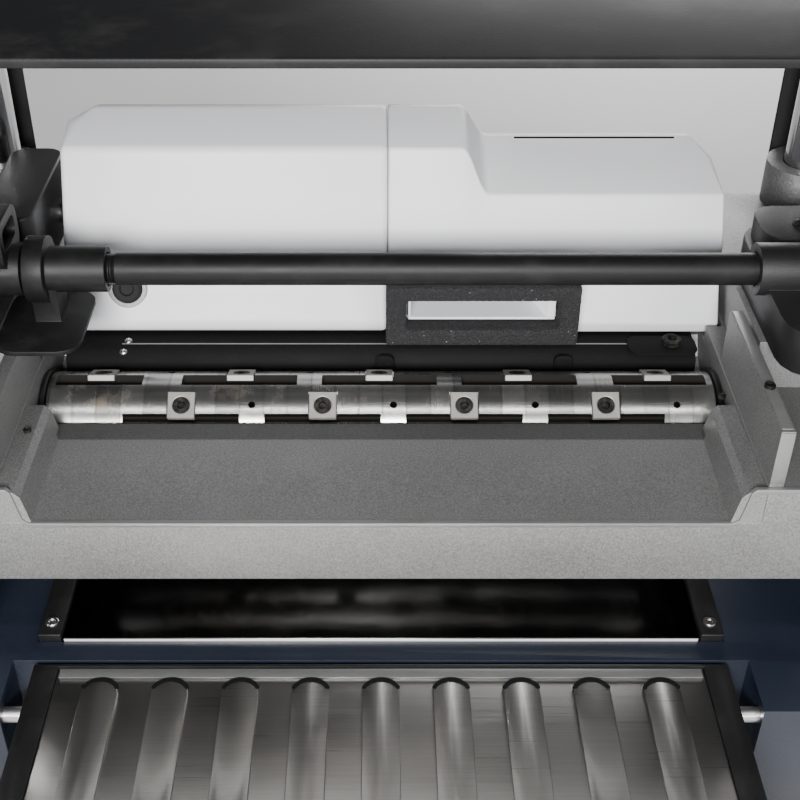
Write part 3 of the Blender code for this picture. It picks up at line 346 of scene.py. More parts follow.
def black_moulding(place):
    """Black plastic covers with a leather-like moulded grain."""
    grain = place.cells(1300.0, "SMOOTH_F1")
    cloud = place.noise(30.0, 3.0)
    mask = (grain * 0.35 + cloud * 0.5).clamped()
    shade = mask.between(rgba(colours().black, 0.9), rgba((0.016, 0.016, 0.017)))
    return dict(Base_Color=shade, Roughness=0.42 + cloud * 0.16, Normal=grain.bump(0.25, 0.0003),
                Specular_IOR_Level=0.38)


def polished_plate(place):
    """Polished stainless table: long fine brush lines, light scratches, sawdust specks, on a colour darkened far
    below steel's as painted shade under the carriage.
    """
    brush = place.stretched((3200.0, 9.0, 300.0)).noise(1.0, 4.0)
    haze = place.noise(16.0, 4.0)
    specks = place.cells(330.0).steps((0.0, 1.0), (0.035, 0.0))
    # painted shade: the steel colour is held near black, as the table looks in the carriage's shade
    base = (brush * 0.6 + haze * 0.4).between(rgba(0.07), rgba(0.13))
    shade = (specks * 0.6).between(base, rgba((0.2, 0.17, 0.12)))
    return dict(Base_Color=shade, Metallic=1.0 - specks * 0.8, Roughness=0.09 + haze * 0.08 + brush * 0.06,
                Normal=brush.bump(0.05, 0.0001))


def pressed_stainless(place):
    """Brushed stainless of the extension tables."""
    brush = place.stretched((14.0, 2400.0, 400.0)).noise(1.0, 4.0)
    haze = place.noise(20.0, 4.0)
    shade = (brush * 0.6 + haze * 0.4).between(rgba((0.30, 0.29, 0.275)), rgba((0.62, 0.61, 0.59)))
    return dict(Base_Color=shade, Metallic=1.0, Roughness=0.2 + brush * 0.14 + haze * 0.08,
                Normal=brush.bump(0.08, 0.0001))


def base_paint(place):
    """Dark blue paint with orange peel and dust."""
    peel = place.noise(520.0, 2.0)
    cloud = place.noise(22.0, 4.0)
    dust = place.noise(1700.0, 1.0).steps((0.6, 0.0), (0.78, 1.0)) * cloud
    base = cloud.between(rgba(colours().paint, 0.8), rgba(colours().paint, 1.25))
    shade = (dust * 0.35).between(base, rgba((0.16, 0.15, 0.14)))
    return dict(Base_Color=shade, Roughness=0.3 + cloud * 0.16, Normal=peel.bump(0.2, 0.0004), Coat_Weight=0.2)


def gasket_foam(place):
    """Open-cell foam: small dark pores, with painted highlights on the pale cell walls, painted glints and
    near-white painted glint specks.
    """
    pores = place.cells(850.0)
    # painted highlights: the walls, the glints and the near-white specks lighten the colour where light would
    # catch the foam
    walls = place.cells(620.0, "DISTANCE_TO_EDGE").steps((0.0, 1.0), (0.14, 0.0))
    glints = place.noise(1300.0, 2.0, 0.7).steps((0.6, 0.0), (0.72, 1.0))
    specks = place.cells(240.0).steps((0.0, 1.0), (0.07, 0.0))
    mask = (walls * 0.3 + glints * 0.4).clamped()
    dull = mask.between(rgba(colours().foam, 0.7), rgba((0.075, 0.075, 0.08)))
    shade = specks.between(dull, rgba((0.75, 0.75, 0.78)))
    height = pores * 0.8 - walls * 0.3 + glints * 0.5
    return dict(Base_Color=shade, Roughness=0.88, Normal=height.bump(0.9, 0.0009))


def soft_rubber(place):
    """Matt rubber with a faint bloom."""
    bloom = place.noise(90.0, 4.0)
    shade = bloom.between(rgba(0.006), rgba((0.018, 0.0175, 0.017)))
    return dict(Base_Color=shade, Roughness=0.68 + bloom * 0.2, Specular_IOR_Level=0.25,
                Normal=place.noise(1500.0, 2.0).bump(0.2, 0.0002))


def red_moulding(place):
    """Red plastic of the switch paddle and reset button."""
    cloud = place.noise(80.0, 3.0)
    shade = cloud.between(rgba((0.38, 0.018, 0.012)), rgba((0.55, 0.035, 0.02)))
    return dict(Base_Color=shade, Roughness=0.32 + cloud * 0.15,
                Normal=place.noise(1400.0, 2.0).bump(0.1, 0.0002))


def socket_black(place):
    """Black oxide of the screw heads, with brown resin in the recess."""
    smear = place.noise(420.0, 3.0)
    shade = smear.steps((0.45, 0.0), (0.7, 1.0)).between(rgba(0.005), rgba((0.03, 0.026, 0.02)))
    return dict(Base_Color=shade, Specular_IOR_Level=0.15, Roughness=0.4 + smear * 0.25)


def floor_paint(place):
    """Pale, matt and slightly cloudy."""
    cloud = place.noise(2.2, 3.0)
    shade = cloud.between(rgba((0.76, 0.755, 0.745)), rgba((0.84, 0.835, 0.825)))
    return dict(Base_Color=shade, Roughness=0.75)


FINISHES = {}


def finish(maker):
    """The Principled material that a maker describes as socket values, made once on Object coordinates."""
    name = maker.__name__
    if name not in FINISHES:
        material = bpy.data.materials.new(name)
        material.use_nodes = True
        tree = material.node_tree
        place = Wire(tree, tree.nodes.new("ShaderNodeTexCoord").outputs["Object"])
        shader = tree.nodes["Principled BSDF"]
        for socket, value in maker(place).items():
            place.fill(shader.inputs[socket.replace("_", " ")], value)
        FINISHES[name] = material
    return FINISHES[name]


# ---- modelling by operator


def deselect():
    """Leaves edit mode and selects nothing."""
    if bpy.context.mode != "OBJECT":
        bpy.ops.object.mode_set(mode="OBJECT")
    bpy.ops.object.select_all(action="DESELECT")


def only(piece):
    """Selects one object and makes it active."""
    deselect()
    piece.select_set(True)
    bpy.context.view_layer.objects.active = piece
    return piece


def edit(piece, *steps):
    """Runs (operator, settings) steps on everything in the piece's mesh."""
    only(piece)
    bpy.ops.object.mode_set(mode="EDIT")
    bpy.ops.mesh.select_all(action="SELECT")
    for operator, settings in steps:
        operator(**settings)
    bpy.ops.object.mode_set(mode="OBJECT")
    return piece


def settle(piece):
    """Moves the object's place into its mesh."""
    only(piece)
    bpy.ops.object.transform_apply(location=True, rotation=True, scale=True)
    return piece


def modify(piece, kind, **settings):
    """Adds a modifier and applies it."""
    only(piece)
    modifier = piece.modifiers.new(kind.lower(), kind)
    for name, value in settings.items():
        setattr(modifier, name, value)
    bpy.ops.object.modifier_apply(modifier=modifier.name)
    return piece


def soften(piece, width, segments=2, angle=32.0):
    """Rounds the sharp edges and smooths the shading."""
    modify(piece, "BEVEL", width=width, segments=segments, limit_method="ANGLE", angle_limit=math.radians(angle),
           use_clamp_overlap=True)
    return smooth(piece)


def smooth(piece, angle=38.0):
    only(piece)
    bpy.ops.object.shade_smooth_by_angle(angle=math.radians(angle))
    return piece


def cut(piece, *cutters):
    """Takes the cutters' shapes out of the piece."""
    for cutter in cutters:
        modify(piece, "BOOLEAN", operation="DIFFERENCE", object=cutter, solver="EXACT")
        bpy.data.objects.remove(cutter)
    return piece


def lined(cutter, outer, inner, marks=None):
    """Gives a cutter two finishes, so that the walls it leaves take the inner one where marked."""
    for maker in (outer, inner):
        cutter.data.materials.append(finish(maker))
    cutter.data.polygons.foreach_set("material_index", marks or [1] * len(cutter.data.polygons))
    return cutter


def gather(name, pieces):
    """Joins separate bodies into one object."""
    deselect()
    for piece in pieces:
        piece.select_set(True)
    bpy.context.view_layer.objects.active = pieces[0]
    bpy.ops.object.join()
    made = bpy.context.active_object
    made.name = name
    return made


def block(name, low, high):
    """A cube primitive stretched between two corners, in metres."""
    low, high = Vector(low), Vector(high)
    deselect()
    bpy.ops.mesh.primitive_cube_add(size=1.0, location=(low + high) / 2)
    piece = bpy.context.active_object
    piece.name = name
    piece.scale = high - low
    return settle(piece)


def across(axis, u, v, w):
    """The point at (u, v) across an axis and w along it; Y takes (x, z)."""
    if axis == "X":
        return Vector((w, u, v))
    if axis == "Y":
        return Vector((u, w, v))
    return Vector((u, v, w))


def plate(name, axis, outline, low, high):
    """An outline filled as one face, then extruded along its axis."""
    deselect()
    bpy.ops.mesh.primitive_circle_add(vertices=len(outline), fill_type="NGON")
    piece = bpy.context.active_object
    piece.name = name
    for vertex, (u, v) in zip(piece.data.vertices, outline):
        vertex.co = across(axis, u, v, low)
    piece.data.update()
    move = across(axis, 0, 0, high - low)
    return edit(piece, (bpy.ops.mesh.extrude_region_move, {"TRANSFORM_OT_translate": {"value": move}}),
                (bpy.ops.mesh.select_all, {"action": "SELECT"}),
                (bpy.ops.mesh.normals_make_consistent, {"inside": False}))


def turned(name, axis, centre, profile, steps=48):
    """A closed (radius, along) outline turned once round a line through centre."""
    deselect()
    bpy.ops.mesh.primitive_circle_add(vertices=len(profile), fill_type="NOTHING")
    piece = bpy.context.active_object
    piece.name = name
    for vertex, (radius, along) in zip(piece.data.vertices, profile):
        vertex.co = (radius, 0, along)
    modify(piece, "SCREW", angle=TURN, steps=steps, render_steps=steps, axis="Z", use_merge_vertices=True,
           merge_threshold=CLEAR)
    turn = {"X": Matrix.Rotation(math.pi / 2, 4, "Y"), "Y": Matrix.Rotation(-math.pi / 2, 4, "X"), "Z": Matrix()}
    piece.data.transform(Matrix.Translation(Vector(centre)) @ turn[axis])
    edit(piece, (bpy.ops.mesh.remove_doubles, {"threshold": 0.000002}), (bpy.ops.mesh.dissolve_degenerate, {}),
         (bpy.ops.mesh.delete_loose, {}), (bpy.ops.mesh.select_all, {"action": "SELECT"}),
         (bpy.ops.mesh.normals_make_consistent, {"inside": False}))
    return smooth(piece)


def round_bar(name, axis, centre, radius, low, high, edge=0.0005, bore=0.0, steps=48):
    """A turned bar or bush with softened ends; low and high lie along the axis, in the frame."""
    place = across(axis, centre[0], centre[1], 0)
    profile = [(bore, low), (radius - edge, low), (radius, low + edge), (radius, high - edge),
               (radius - edge, high), (bore, high)]
    return turned(name, axis, place, profile, steps)


def loft(name, rings):
    """Closed rings of equal count, bridged in order and capped."""
    deselect()
    parts = []
    for ring in rings:
        bpy.ops.mesh.primitive_circle_add(vertices=len(ring), fill_type="NOTHING")
        part = bpy.context.active_object
        for vertex, point in zip(part.data.vertices, ring):
            vertex.co = point
        parts.append(part)
    piece = gather(name, parts)
    settle(piece)
    only(piece)
    bpy.ops.object.mode_set(mode="EDIT")
    bpy.ops.mesh.select_all(action="SELECT")
    bpy.ops.mesh.bridge_edge_loops()
    bpy.ops.mesh.select_all(action="DESELECT")
    bpy.ops.mesh.select_non_manifold()
    bpy.ops.mesh.edge_face_add()
    bpy.ops.mesh.select_all(action="SELECT")
    bpy.ops.mesh.normals_make_consistent(inside=False)
    bpy.ops.object.mode_set(mode="OBJECT")
    return piece


def arc(centre, radius, start, end, steps):
    """Points along an arc, in degrees."""
    points = []
    for i in range(steps + 1):
        angle = math.radians(start + (end - start) * i / steps)
        points.append((centre[0] + radius * math.cos(angle), centre[1] + radius * math.sin(angle)))
    return points


def rounded(low, high, radius, steps=6):
    """A rectangle with round corners."""
    x0, y0, x1, y1 = low[0] + radius, low[1] + radius, high[0] - radius, high[1] - radius
    return [*arc((x1, y1), radius, 0, 90, steps), *arc((x0, y1), radius, 90, 180, steps),
            *arc((x0, y0), radius, 180, 270, steps), *arc((x1, y0), radius, 270, 360, steps)]


def placed(name, shape_of, where, normal, spin=0.0):
    """Builds a shape standing on +Z at the origin, then sets it at a point with +Z along a normal."""
    piece = shape_of(name)
    turn = Vector(normal).to_track_quat("Z", "Y").to_matrix().to_4x4()
    piece.data.transform(Matrix.Translation(Vector(where)) @ turn @ Matrix.Rotation(spin, 4, "Z"))
    return piece


def at(x, y, z):
    """A point measured from the head's centre, in millimetres."""
    return HEAD + Vector((x, y, z)) * MM


def dress(piece, maker, body, slot, *replaced):
    """Gives a piece its material and its body, and hides the nodes that it stands for; the slot is not used."""
    piece.data.materials.clear()
    piece.data.materials.append(finish(maker))
    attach(piece, body)
    if replaced:
        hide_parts(*replaced)
    return piece


def slab(name, low, high, edge, segments, maker, body, slot, *replaced):
    """A block with rounded edges, dressed."""
    return dress(soften(block(name, low, high), edge, segments), maker, body, slot, *replaced)


def span(node):
    """A node's lowest and highest corners, and its middle."""
    low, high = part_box(node)
    return low, high, (low + high) / 2


def refined(node, width, maker, segments=2, angle=32.0):
    """A piece made from a copy of a node's mesh, merged and with rounded edges."""
    source = NODES[node]
    piece = bpy.data.objects.new(node + "_piece", source.data.copy())
    bpy.context.scene.collection.objects.link(piece)
    edit(piece, (bpy.ops.mesh.remove_doubles, {"threshold": 0.00001}),
         (bpy.ops.mesh.dissolve_limited, {"angle_limit": math.radians(0.5)}))
    soften(piece, width, segments, angle)
    return dress(piece, maker, source["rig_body"], slot_of(node), node)


def slot_of(node):
    """The material slot that the record gives a node."""
    return next(part["material_slot"] for part in frame["record"]["subparts"] if part["node"] == node)


def cap_screw(radius, height, key, bore=0.6):
    """A maker of round screw heads with a round socket recess, standing on +Z."""
    def make(name):
        edge = radius * 0.12
        depth = height * bore
        profile = [(0, 0), (radius, 0), (radius, height - edge), (radius - edge, height), (key * 1.15, height),
                   (key, height - 0.0002), (key, height - depth), (0, height - depth)]
        return turned(name, "Z", (0, 0, 0), profile, 30)
    return make


def washer_screw(radius, height):
    """A maker of pan-head screws with a washer and a cross recess."""
    def make(name):
        profile = [(0, 0), (radius * 1.35, 0), (radius * 1.35, height * 0.25), (radius, height * 0.3),
                   (radius, height * 0.65), (radius * 0.8, height * 0.9), (radius * 0.35, height), (0, height)]
        piece = turned(name, "Z", (0, 0, 0), profile, 30)
        slot = radius * 0.14
        reach = radius * 0.55
        for turn in (0, 1):
            half = (reach, slot) if turn else (slot, reach)
            cutter = block("cross", (-half[0], -half[1], height * 0.55), (half[0], half[1], height * 1.2))
            cut(piece, cutter)
        return smooth(piece)
    return make


# ---- stage


class PLANER_OT_stage(bpy.types.Operator):
    """Pale floor, soft lights and the camera"""
    bl_idname = "planer.stage"
    bl_label = "Stage"

    def execute(self, context):
        deselect()
        bpy.ops.mesh.primitive_plane_add(size=8.0, location=(0, 1.0, 0))
        floor = context.active_object
        floor.name = "floor"
        edit(floor, (bpy.ops.mesh.subdivide, {"number_cuts": 2}))
        settle(floor)
        floor.data.materials.append(finish(floor_paint))

        world = bpy.data.worlds.new("studio")
        context.scene.world = world
        world.use_nodes = True
        sky = world.node_tree.nodes["Background"].inputs
        sky["Color"].default_value = (0.72, 0.76, 0.82, 1.0)
        sky["Strength"].default_value = 0.12

        lights = (("key", (-0.12, -1.15, 0.72), (0.0, -0.02, 0.2), 0.45, 33.0),
                  ("over", (0.35, 0.85, 1.3), (0.0, 0.05, 0.2), 0.9, 1.8),
                  ("strip", (0.0, -0.66, 1.15), (0.0, -0.03, 0.19), 1.1, 5.0),
                  ("front", (0.75, -1.1, 0.5), (0.0, -0.1, 0.14), 0.6, 7.0),
                  ("rear", (0.45, 1.7, 0.6), (0.0, 0.1, 0.2), 1.0, 22.0))
        for name, place, aim, size, power in lights:
            data = bpy.data.lights.new(name, "AREA")
            data.shape = "RECTANGLE"
            data.size = size
            data.size_y = 0.05 if name == "strip" else size * 0.6
            data.energy = power
            lamp = bpy.data.objects.new(name, data)
            lamp.location = place
            lamp.rotation_euler = (Vector(aim) - Vector(place)).to_track_quat("-Z", "Y").to_euler()
            context.scene.collection.objects.link(lamp)

        tilt = 35.9     # degrees that the camera looks down
        data = bpy.data.cameras.new("camera")
        data.sensor_width = 36.0
        data.lens = 56.8
        data.shift_x = 0.0238
        data.clip_start = 0.02
        camera = bpy.data.objects.new("camera", data)
        camera.location = at(0, -536, 400)
        camera.rotation_euler = (math.radians(90 - tilt), 0, 0)
        context.scene.collection.objects.link(camera)
        context.scene.camera = camera
        return {"FINISHED"}


# ---- base, table and frame


class PLANER_OT_base(bpy.types.Operator):
    """Painted base, feet, table, side rails and their screws"""
    bl_idname = "planer.base"
    bl_label = "Base and table"

    def execute(self, context):
        refined("base", 0.0025, base_paint, 3)
        for side in ("left", "right"):
            for end in ("front", "rear"):
                self.foot(f"foot_{end}_{side}")
            self.rail(side)
        self.table()
        return {"FINISHED"}

    def foot(self, node):
        low, high, centre = span(node)
        radius = (high.x - low.x) / 2
        top = high.z
        profile = [(0, 0), (radius * 0.86, 0), (radius * 0.94, 0.0012), (radius, top * 0.75),
                   (radius * 0.97, top), (0, top)]
        foot = turned(node + "_pad", "Z", (centre.x, centre.y, 0), profile, 40)
        dress(foot, soft_rubber, "base", "rubber", node)

    def table(self):
        low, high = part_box("main_table")
        slab("table_plate", low, high, 0.0008, 3, polished_plate, "base", "stainless", "main_table")
        # painted highlight: a thin near-white strip along the table's front edge
        slab("table_front_highlight", (low.x + 0.001, low.y - 0.0003, high.z - 0.0019),
             (high.x - 0.001, low.y + 0.0002, high.z - 0.0004), 0.00012, 2, painted_edge_highlight, "base", "stainless")

    def rail(self, side):
        node = f"side_rail_{side}"
        low, high, centre = span(node)
        slab(node + "_bar", low, high, 0.0008, 3, black_coat, "base", "black_steel", node)
        screws = [placed("rail_screw", cap_screw(0.0034, 0.0012, 0.0015), (centre.x, y, high.z), UP)
                  for y in (low.y + 0.009, low.y + 0.075, high.y - 0.075, high.y - 0.009)]
        dress(gather(node + "_screws", screws), bright_steel, "base", "steel")


def painted_edge_highlight(place):
    """Near-white painted highlight along the table's front edge."""
    haze = place.noise(120.0, 3.0)
    shade = haze.between(rgba((0.8, 0.8, 0.79)), rgba((0.95, 0.95, 0.94)))
    return dict(Base_Color=shade, Metallic=0.35, Roughness=0.3 + haze * 0.15)


class PLANER_OT_frame(bpy.types.Operator):
    """Columns, side frames and top plate"""
    bl_idname = "planer.frame"
    bl_label = "Columns and frame"

    def execute(self, context):
        for side in ("left", "right"):
            refined(f"side_frame_{side}", 0.0006, black_coat)
            for end in ("front", "rear"):
                node = f"column_{end}_{side}"
                low, high, centre = span(node)
                column = round_bar(node + "_bar", "Z", (centre.x, centre.y), (high.x - low.x) / 2, low.z, high.z,
                                   0.0008, 0.0, 64)
                dress(column, hard_chrome, "base", "chrome", node)
        refined("top_plate", 0.001, black_coat)
        return {"FINISHED"}


# ---- extension tables


class PLANER_OT_leaves(bpy.types.Operator):
    """Extension tables with pressed ribs, their frames and hinge pins"""
    bl_idname = "planer.leaves"
    bl_label = "Extension tables"

    def execute(self, context):
        for name in ("infeed", "outfeed"):
            refined(f"{name}_leaf_frame", 0.0015, black_coat, 3)
            self.plate(name)
            for side in ("left", "right"):
                node = f"hinge_pin_{name}_{side}"
                low, high, centre = span(node)
                radius = (high.z - low.z) / 2
                pin = round_bar(node + "_bar", "X", (centre.y, centre.z), radius, low.x, high.x, 0.0006)
                dress(pin, bright_steel, "base", "steel", node)
        return {"FINISHED"}

    def plate(self, name):
        """A thin plate with round-ended ribs raised from it."""
        node = f"{name}_leaf_plate"
        low, high, centre = span(node)
        rise = 0.0011
        sheet = block(node + "_sheet", low, (high.x, high.y, high.z - rise))
        width = sizes().rib_width
        count = sizes().rib_count
        pitch = (high.x - low.x) / count * 0.965
        middles = [centre.x + (i - (count - 1) / 2) * pitch for i in range(count)]
        ribs = []
        for x in middles:
            outline = rounded((x - width / 2, low.y + 0.008), (x + width / 2, high.y - 0.008), width * 0.499, 9)
            ribs.append(soften(plate("rib", "Z", outline, high.z - 0.0015, high.z), 0.0007, 3))
        soften(sheet, 0.0004)
        self.edge(name, low, high, rise, middles)
        made = smooth(gather(node + "_pressing", [sheet, *ribs]))
        dress(made, pressed_stainless, f"{name}_leaf", "stainless", node)


    def edge(self, name, low, high, rise, middles):
        """Rolled bright edge along the hinge, and a painted shadow: a thin near-black crescent round each rib's
        hinge end.
        """
        side = 1 if name == "infeed" else -1
        hinge = high.y if side > 0 else low.y
        near, far = sorted((hinge - side * 0.0068, hinge - side * 0.0006))
        slab(f"{name}_leaf_edge", (low.x + 0.001, near, high.z - rise), (high.x - 0.001, far, high.z - 0.0002),
             0.0004, 2, machined_aluminium, f"{name}_leaf", "stainless")
        # painted shadow: each crescent is a thin black sheet laid where the rib's end slope falls in shade
        radius = sizes().rib_width / 2
        painted_shadows = []
        for x in middles:
            y = hinge - side * (0.008 + radius)
            outer = arc((x, y), radius + 0.0012, side * 25, side * 155, 16)
            inner = arc((x, y - side * 0.0012), radius - 0.0004, side * 155, side * 25, 16)
            painted_shadows.append(plate("painted_shadow", "Z", outer + inner, high.z - rise, high.z + 0.0001))
        dress(gather(f"{name}_leaf_grooves", painted_shadows), matt_black, f"{name}_leaf", "stainless")


# ---- carriage casting


class PLANER_OT_casting(bpy.types.Operator):
    """Carriage casting with its machined rims, guide faces and screws"""
    bl_idname = "planer.casting"
    bl_label = "Carriage casting"

    def execute(self, context):
        refined("carriage_casting", sizes().cast_edge, cast_aluminium, 3, 28.0)
        self.rim()
        self.guide_faces()
        self.screws()
        return {"FINISHED"}

    def rim(self):
        """Bright band along the shelf's front edge, up the steps at both ends and out along their tops."""
        wide = 2.4
        proud = 0.4
        front = -98.5 - proud
        path = [(-245, 33), (-170, 33), (-167.8, 31), (-164.8, 15), (-162.4, 13), (162.4, 13), (164.8, 15),
                (167.8, 31), (170, 33), (271, 33)]
        rings = [[at(x, front, z + proud - wide), at(x, front, z + proud), at(x, front + wide, z + proud),
                  at(x, front + wide, z + proud - wide)] for x, z in path]
        dress(soften(loft("casting_rim", rings), 0.0004, 2), machined_aluminium, "carriage", "cast_aluminium")

    def guide_faces(self):
        """Milled front end and top of the right guide wall."""
        slab("guide_end_face", at(175.7, -96.4, 34.5), at(182.4, -95.6, 63.4), 0.0005, 2, machined_aluminium,
             "carriage", "cast_aluminium")
        slab("guide_top_face", at(176.6, -94, 63.7), at(181.6, 4, 64.35), 0.0003, 2, machined_aluminium,
             "carriage", "cast_aluminium")

    def screws(self):
        spots = ((179.0, -62, 64.3, 2.6), (170.5, -24, 31.0, 1.9), (-170.5, -52, 31.0, 1.9))
        made = [placed("casting_screw", cap_screw(r * MM, 1.6 * MM, r * 0.5 * MM), at(x, y, z), UP)
                for x, y, z, r in spots]
        dress(gather("casting_screws", made), socket_black, "carriage", "steel")


# ---- cutterhead


class PLANER_OT_cutterhead(bpy.types.Operator):
    """Cutterhead with gullets, inserts, screws, tapped holes, rings and pulley"""
    bl_idname = "planer.cutterhead"
    bl_label = "Cutterhead"

    radius = 24.9
    half = 172.0
    first_row = 127.3     # degrees from +Y to the row that faces the operator

    def execute(self, context):
        body = self.body()
        dress(body, head_steel, "cutter", "steel", "cutterhead")
        # the chip pockets and tapped holes take a near-black finish as painted shade
        body.data.materials.append(finish(painted_pocket_shade))
        places = self.places()
        cut(body, gather("gullets", [self.gullet(*place) for place in places]))
        seats = [self.seat(*place) for place in places]
        cut(body, gather("seats", seats))
        holes = gather("holes", [self.hole(*place) for place in places])
        cut(body, lined(holes, head_steel, painted_pocket_shade))
        smooth(body, 30)
        self.inserts(places)
        self.ends()
        return {"FINISHED"}

    def body(self):
        r = self.radius * MM
        h = self.half * MM
        journal = 10 * MM
        reach = 200 * MM
        edge = 0.6 * MM
        rim = 0.9 * MM
        profile = [(0, -reach), (journal - edge, -reach), (journal, -reach + edge), (journal, -h), (r - rim, -h),
                   (r, -h + rim), (r, h - rim), (r - rim, h), (journal, h), (journal, reach - edge),
                   (journal - edge, reach), (0, reach)]
        return turned("cutterhead_bar", "X", HEAD, profile, 96)

    def places(self):
        """(x, angle) of every insert: rows round the head, each shifted by a share of the pitch."""
        pitch = sizes().insert_pitch / MM
        count = sizes().rows
        found = []
        for row in range(count):
            shift = pitch * (0.4 * row % 1.0) - 102.2
            for number in range(-2, 6):
                x = shift + number * pitch
                if abs(x) < self.half - 9:
                    found.append((x, self.first_row - 360.0 * row / count))
        return found

    def around(self, piece, x, angle):
        """Carries a shape made at the top of the head to its row."""
        turn = Matrix.Rotation(math.radians(angle - 90), 4, "X")
        piece.data.transform(Matrix.Translation(HEAD + Vector((x * MM, 0, 0))) @ turn)
        return piece

    def gullet(self, x, angle):
        half = min(sizes().gullet_length / MM / 2, self.half - abs(x) - 4)
        low = 19.6
        shape = [(-4.6, low + 9), (-4.6, low - 0.4), (-5.8, low - 1.2), (-7.2, low - 1.0), (-13.6, low + 1.6),
                 (-16.5, low + 9)]
        piece = plate("gullet", "X", [(y * MM, z * MM) for y, z in shape], -half * MM, half * MM)
        deep = [int(face.center.y > -7.6 * MM) for face in piece.data.polygons]
        return self.around(lined(piece, head_steel, painted_pocket_shade, deep), x, angle)

    def seat(self, x, angle):
        side = (sizes().insert / MM + 0.9) / 2
        piece = block("seat", (-side * MM, (-side - 1.5) * MM, 21.6 * MM), (side * MM, side * MM, 30 * MM))
        return self.around(piece, x, angle)

    def hole(self, x, angle):
        half = sizes().insert_pitch / MM / 2
        spot = x + half if x + half < self.half - 6 else x - half
        piece = round_bar("hole", "Z", (0, 0), 1.85 * MM, 15 * MM, 30 * MM, 0.0001, 0.0, 20)
        return self.around(piece, spot, angle)

    def inserts(self, places):
        """A ground square with chamfered edges and a countersunk screw, in every seat."""
        side = sizes().insert / 2
        sink = [(r * MM, z * MM) for r, z in ((0, 22.5), (3.3, 22.5), (4.9, 25.4), (0, 25.4))]
        screw = [(r * MM, z * MM) for r, z in ((0, 22.0), (3.2, 22.5), (4.55, 24.6), (4.3, 24.95), (2.15, 24.95),
                                               (1.9, 24.7), (1.7, 22.8), (0, 22.7))]
        blades, screws = [], []
        for x, angle in places:
            blade = block("blade", (-side, -side, 21.7 * MM), (side, side, 25.0 * MM))
            cut(blade, turned("sink", "Z", (0, 0, 0), sink, 28))
            soften(blade, 0.0003, 1)
            blades.append(self.around(blade, x, angle))
            screws.append(self.around(turned("screw", "Z", (0, 0, 0), screw, 28), x, angle))
        dress(smooth(gather("inserts", blades), 25), insert_carbide, "cutter", "steel")
        dress(gather("insert_screws", screws), socket_black, "cutter", "steel")

    def ends(self):
        for node in ("bearing_left", "bearing_right"):
            low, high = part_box(node)
            ring = round_bar(node + "_ring", "X", (HEAD.y, HEAD.z), 0.017, low.x, high.x, 0.0006, 0.0105, 48)
            dress(ring, black_coat, "carriage", "black_steel", node)
        for side in (-1, 1):
            inner, outer = sorted((side * (self.half + 0.3), side * (self.half + 3.0)))
            collar = round_bar("head_seal_left" if side < 0 else "head_seal_right", "X", (HEAD.y, HEAD.z), 0.0262,
                               at(inner, 0, 0).x, at(outer, 0, 0).x, 0.0008, 0.0104, 64)
            dress(collar, black_coat, "cutter", "black_steel")
        low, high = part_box("head_pulley")
        pulley("head_pulley", (HEAD.y, HEAD.z), low, high, 0.0104, "cutter")
        teeth = gear("head_pinion", (HEAD.y, HEAD.z), 0.013, 0.0021, 14, at(191.5, 0, 0).x, at(199, 0, 0).x)
        dress(teeth, bright_steel, "cutter", "steel")


def pulley(node, centre, low, high, bore, body):
    """A ribbed belt pulley with flanges."""
    radius = (high.z - low.z) / 2
    width = high.x - low.x
    profile = [(bore, low.x), (radius, low.x), (radius, low.x + 0.0008)]
    ribs = 5
    for i in range(ribs):
        left = low.x + 0.0008 + (width - 0.0016) * i / ribs
        step = (width - 0.0016) / ribs
        profile += [(radius - 0.0012, left + step * 0.15), (radius - 0.0003, left + step * 0.5),
                    (radius - 0.0012, left + step * 0.85)]
    profile += [(radius, high.x - 0.0008), (radius, high.x), (bore, high.x)]
    made = turned(node + "_wheel", "X", across("X", centre[0], centre[1], 0), profile, 56)
    dress(made, bright_steel, body, "steel", node)


def gear(name, centre, radius, depth, teeth, low, high, axis="X"):
    """Teeth with flat crests round a disc."""
    outline = []
    for i in range(teeth):
        for share, reach in ((0.0, radius - depth), (0.22, radius - depth), (0.38, radius), (0.62, radius),
                             (0.78, radius - depth)):
            angle = TURN * (i + share) / teeth
            outline.append((centre[0] + reach * math.cos(angle), centre[1] + reach * math.sin(angle)))
    piece = plate(name, axis, outline, low, high)
    return soften(piece, 0.0002, 1)


# ---- rollers and drive


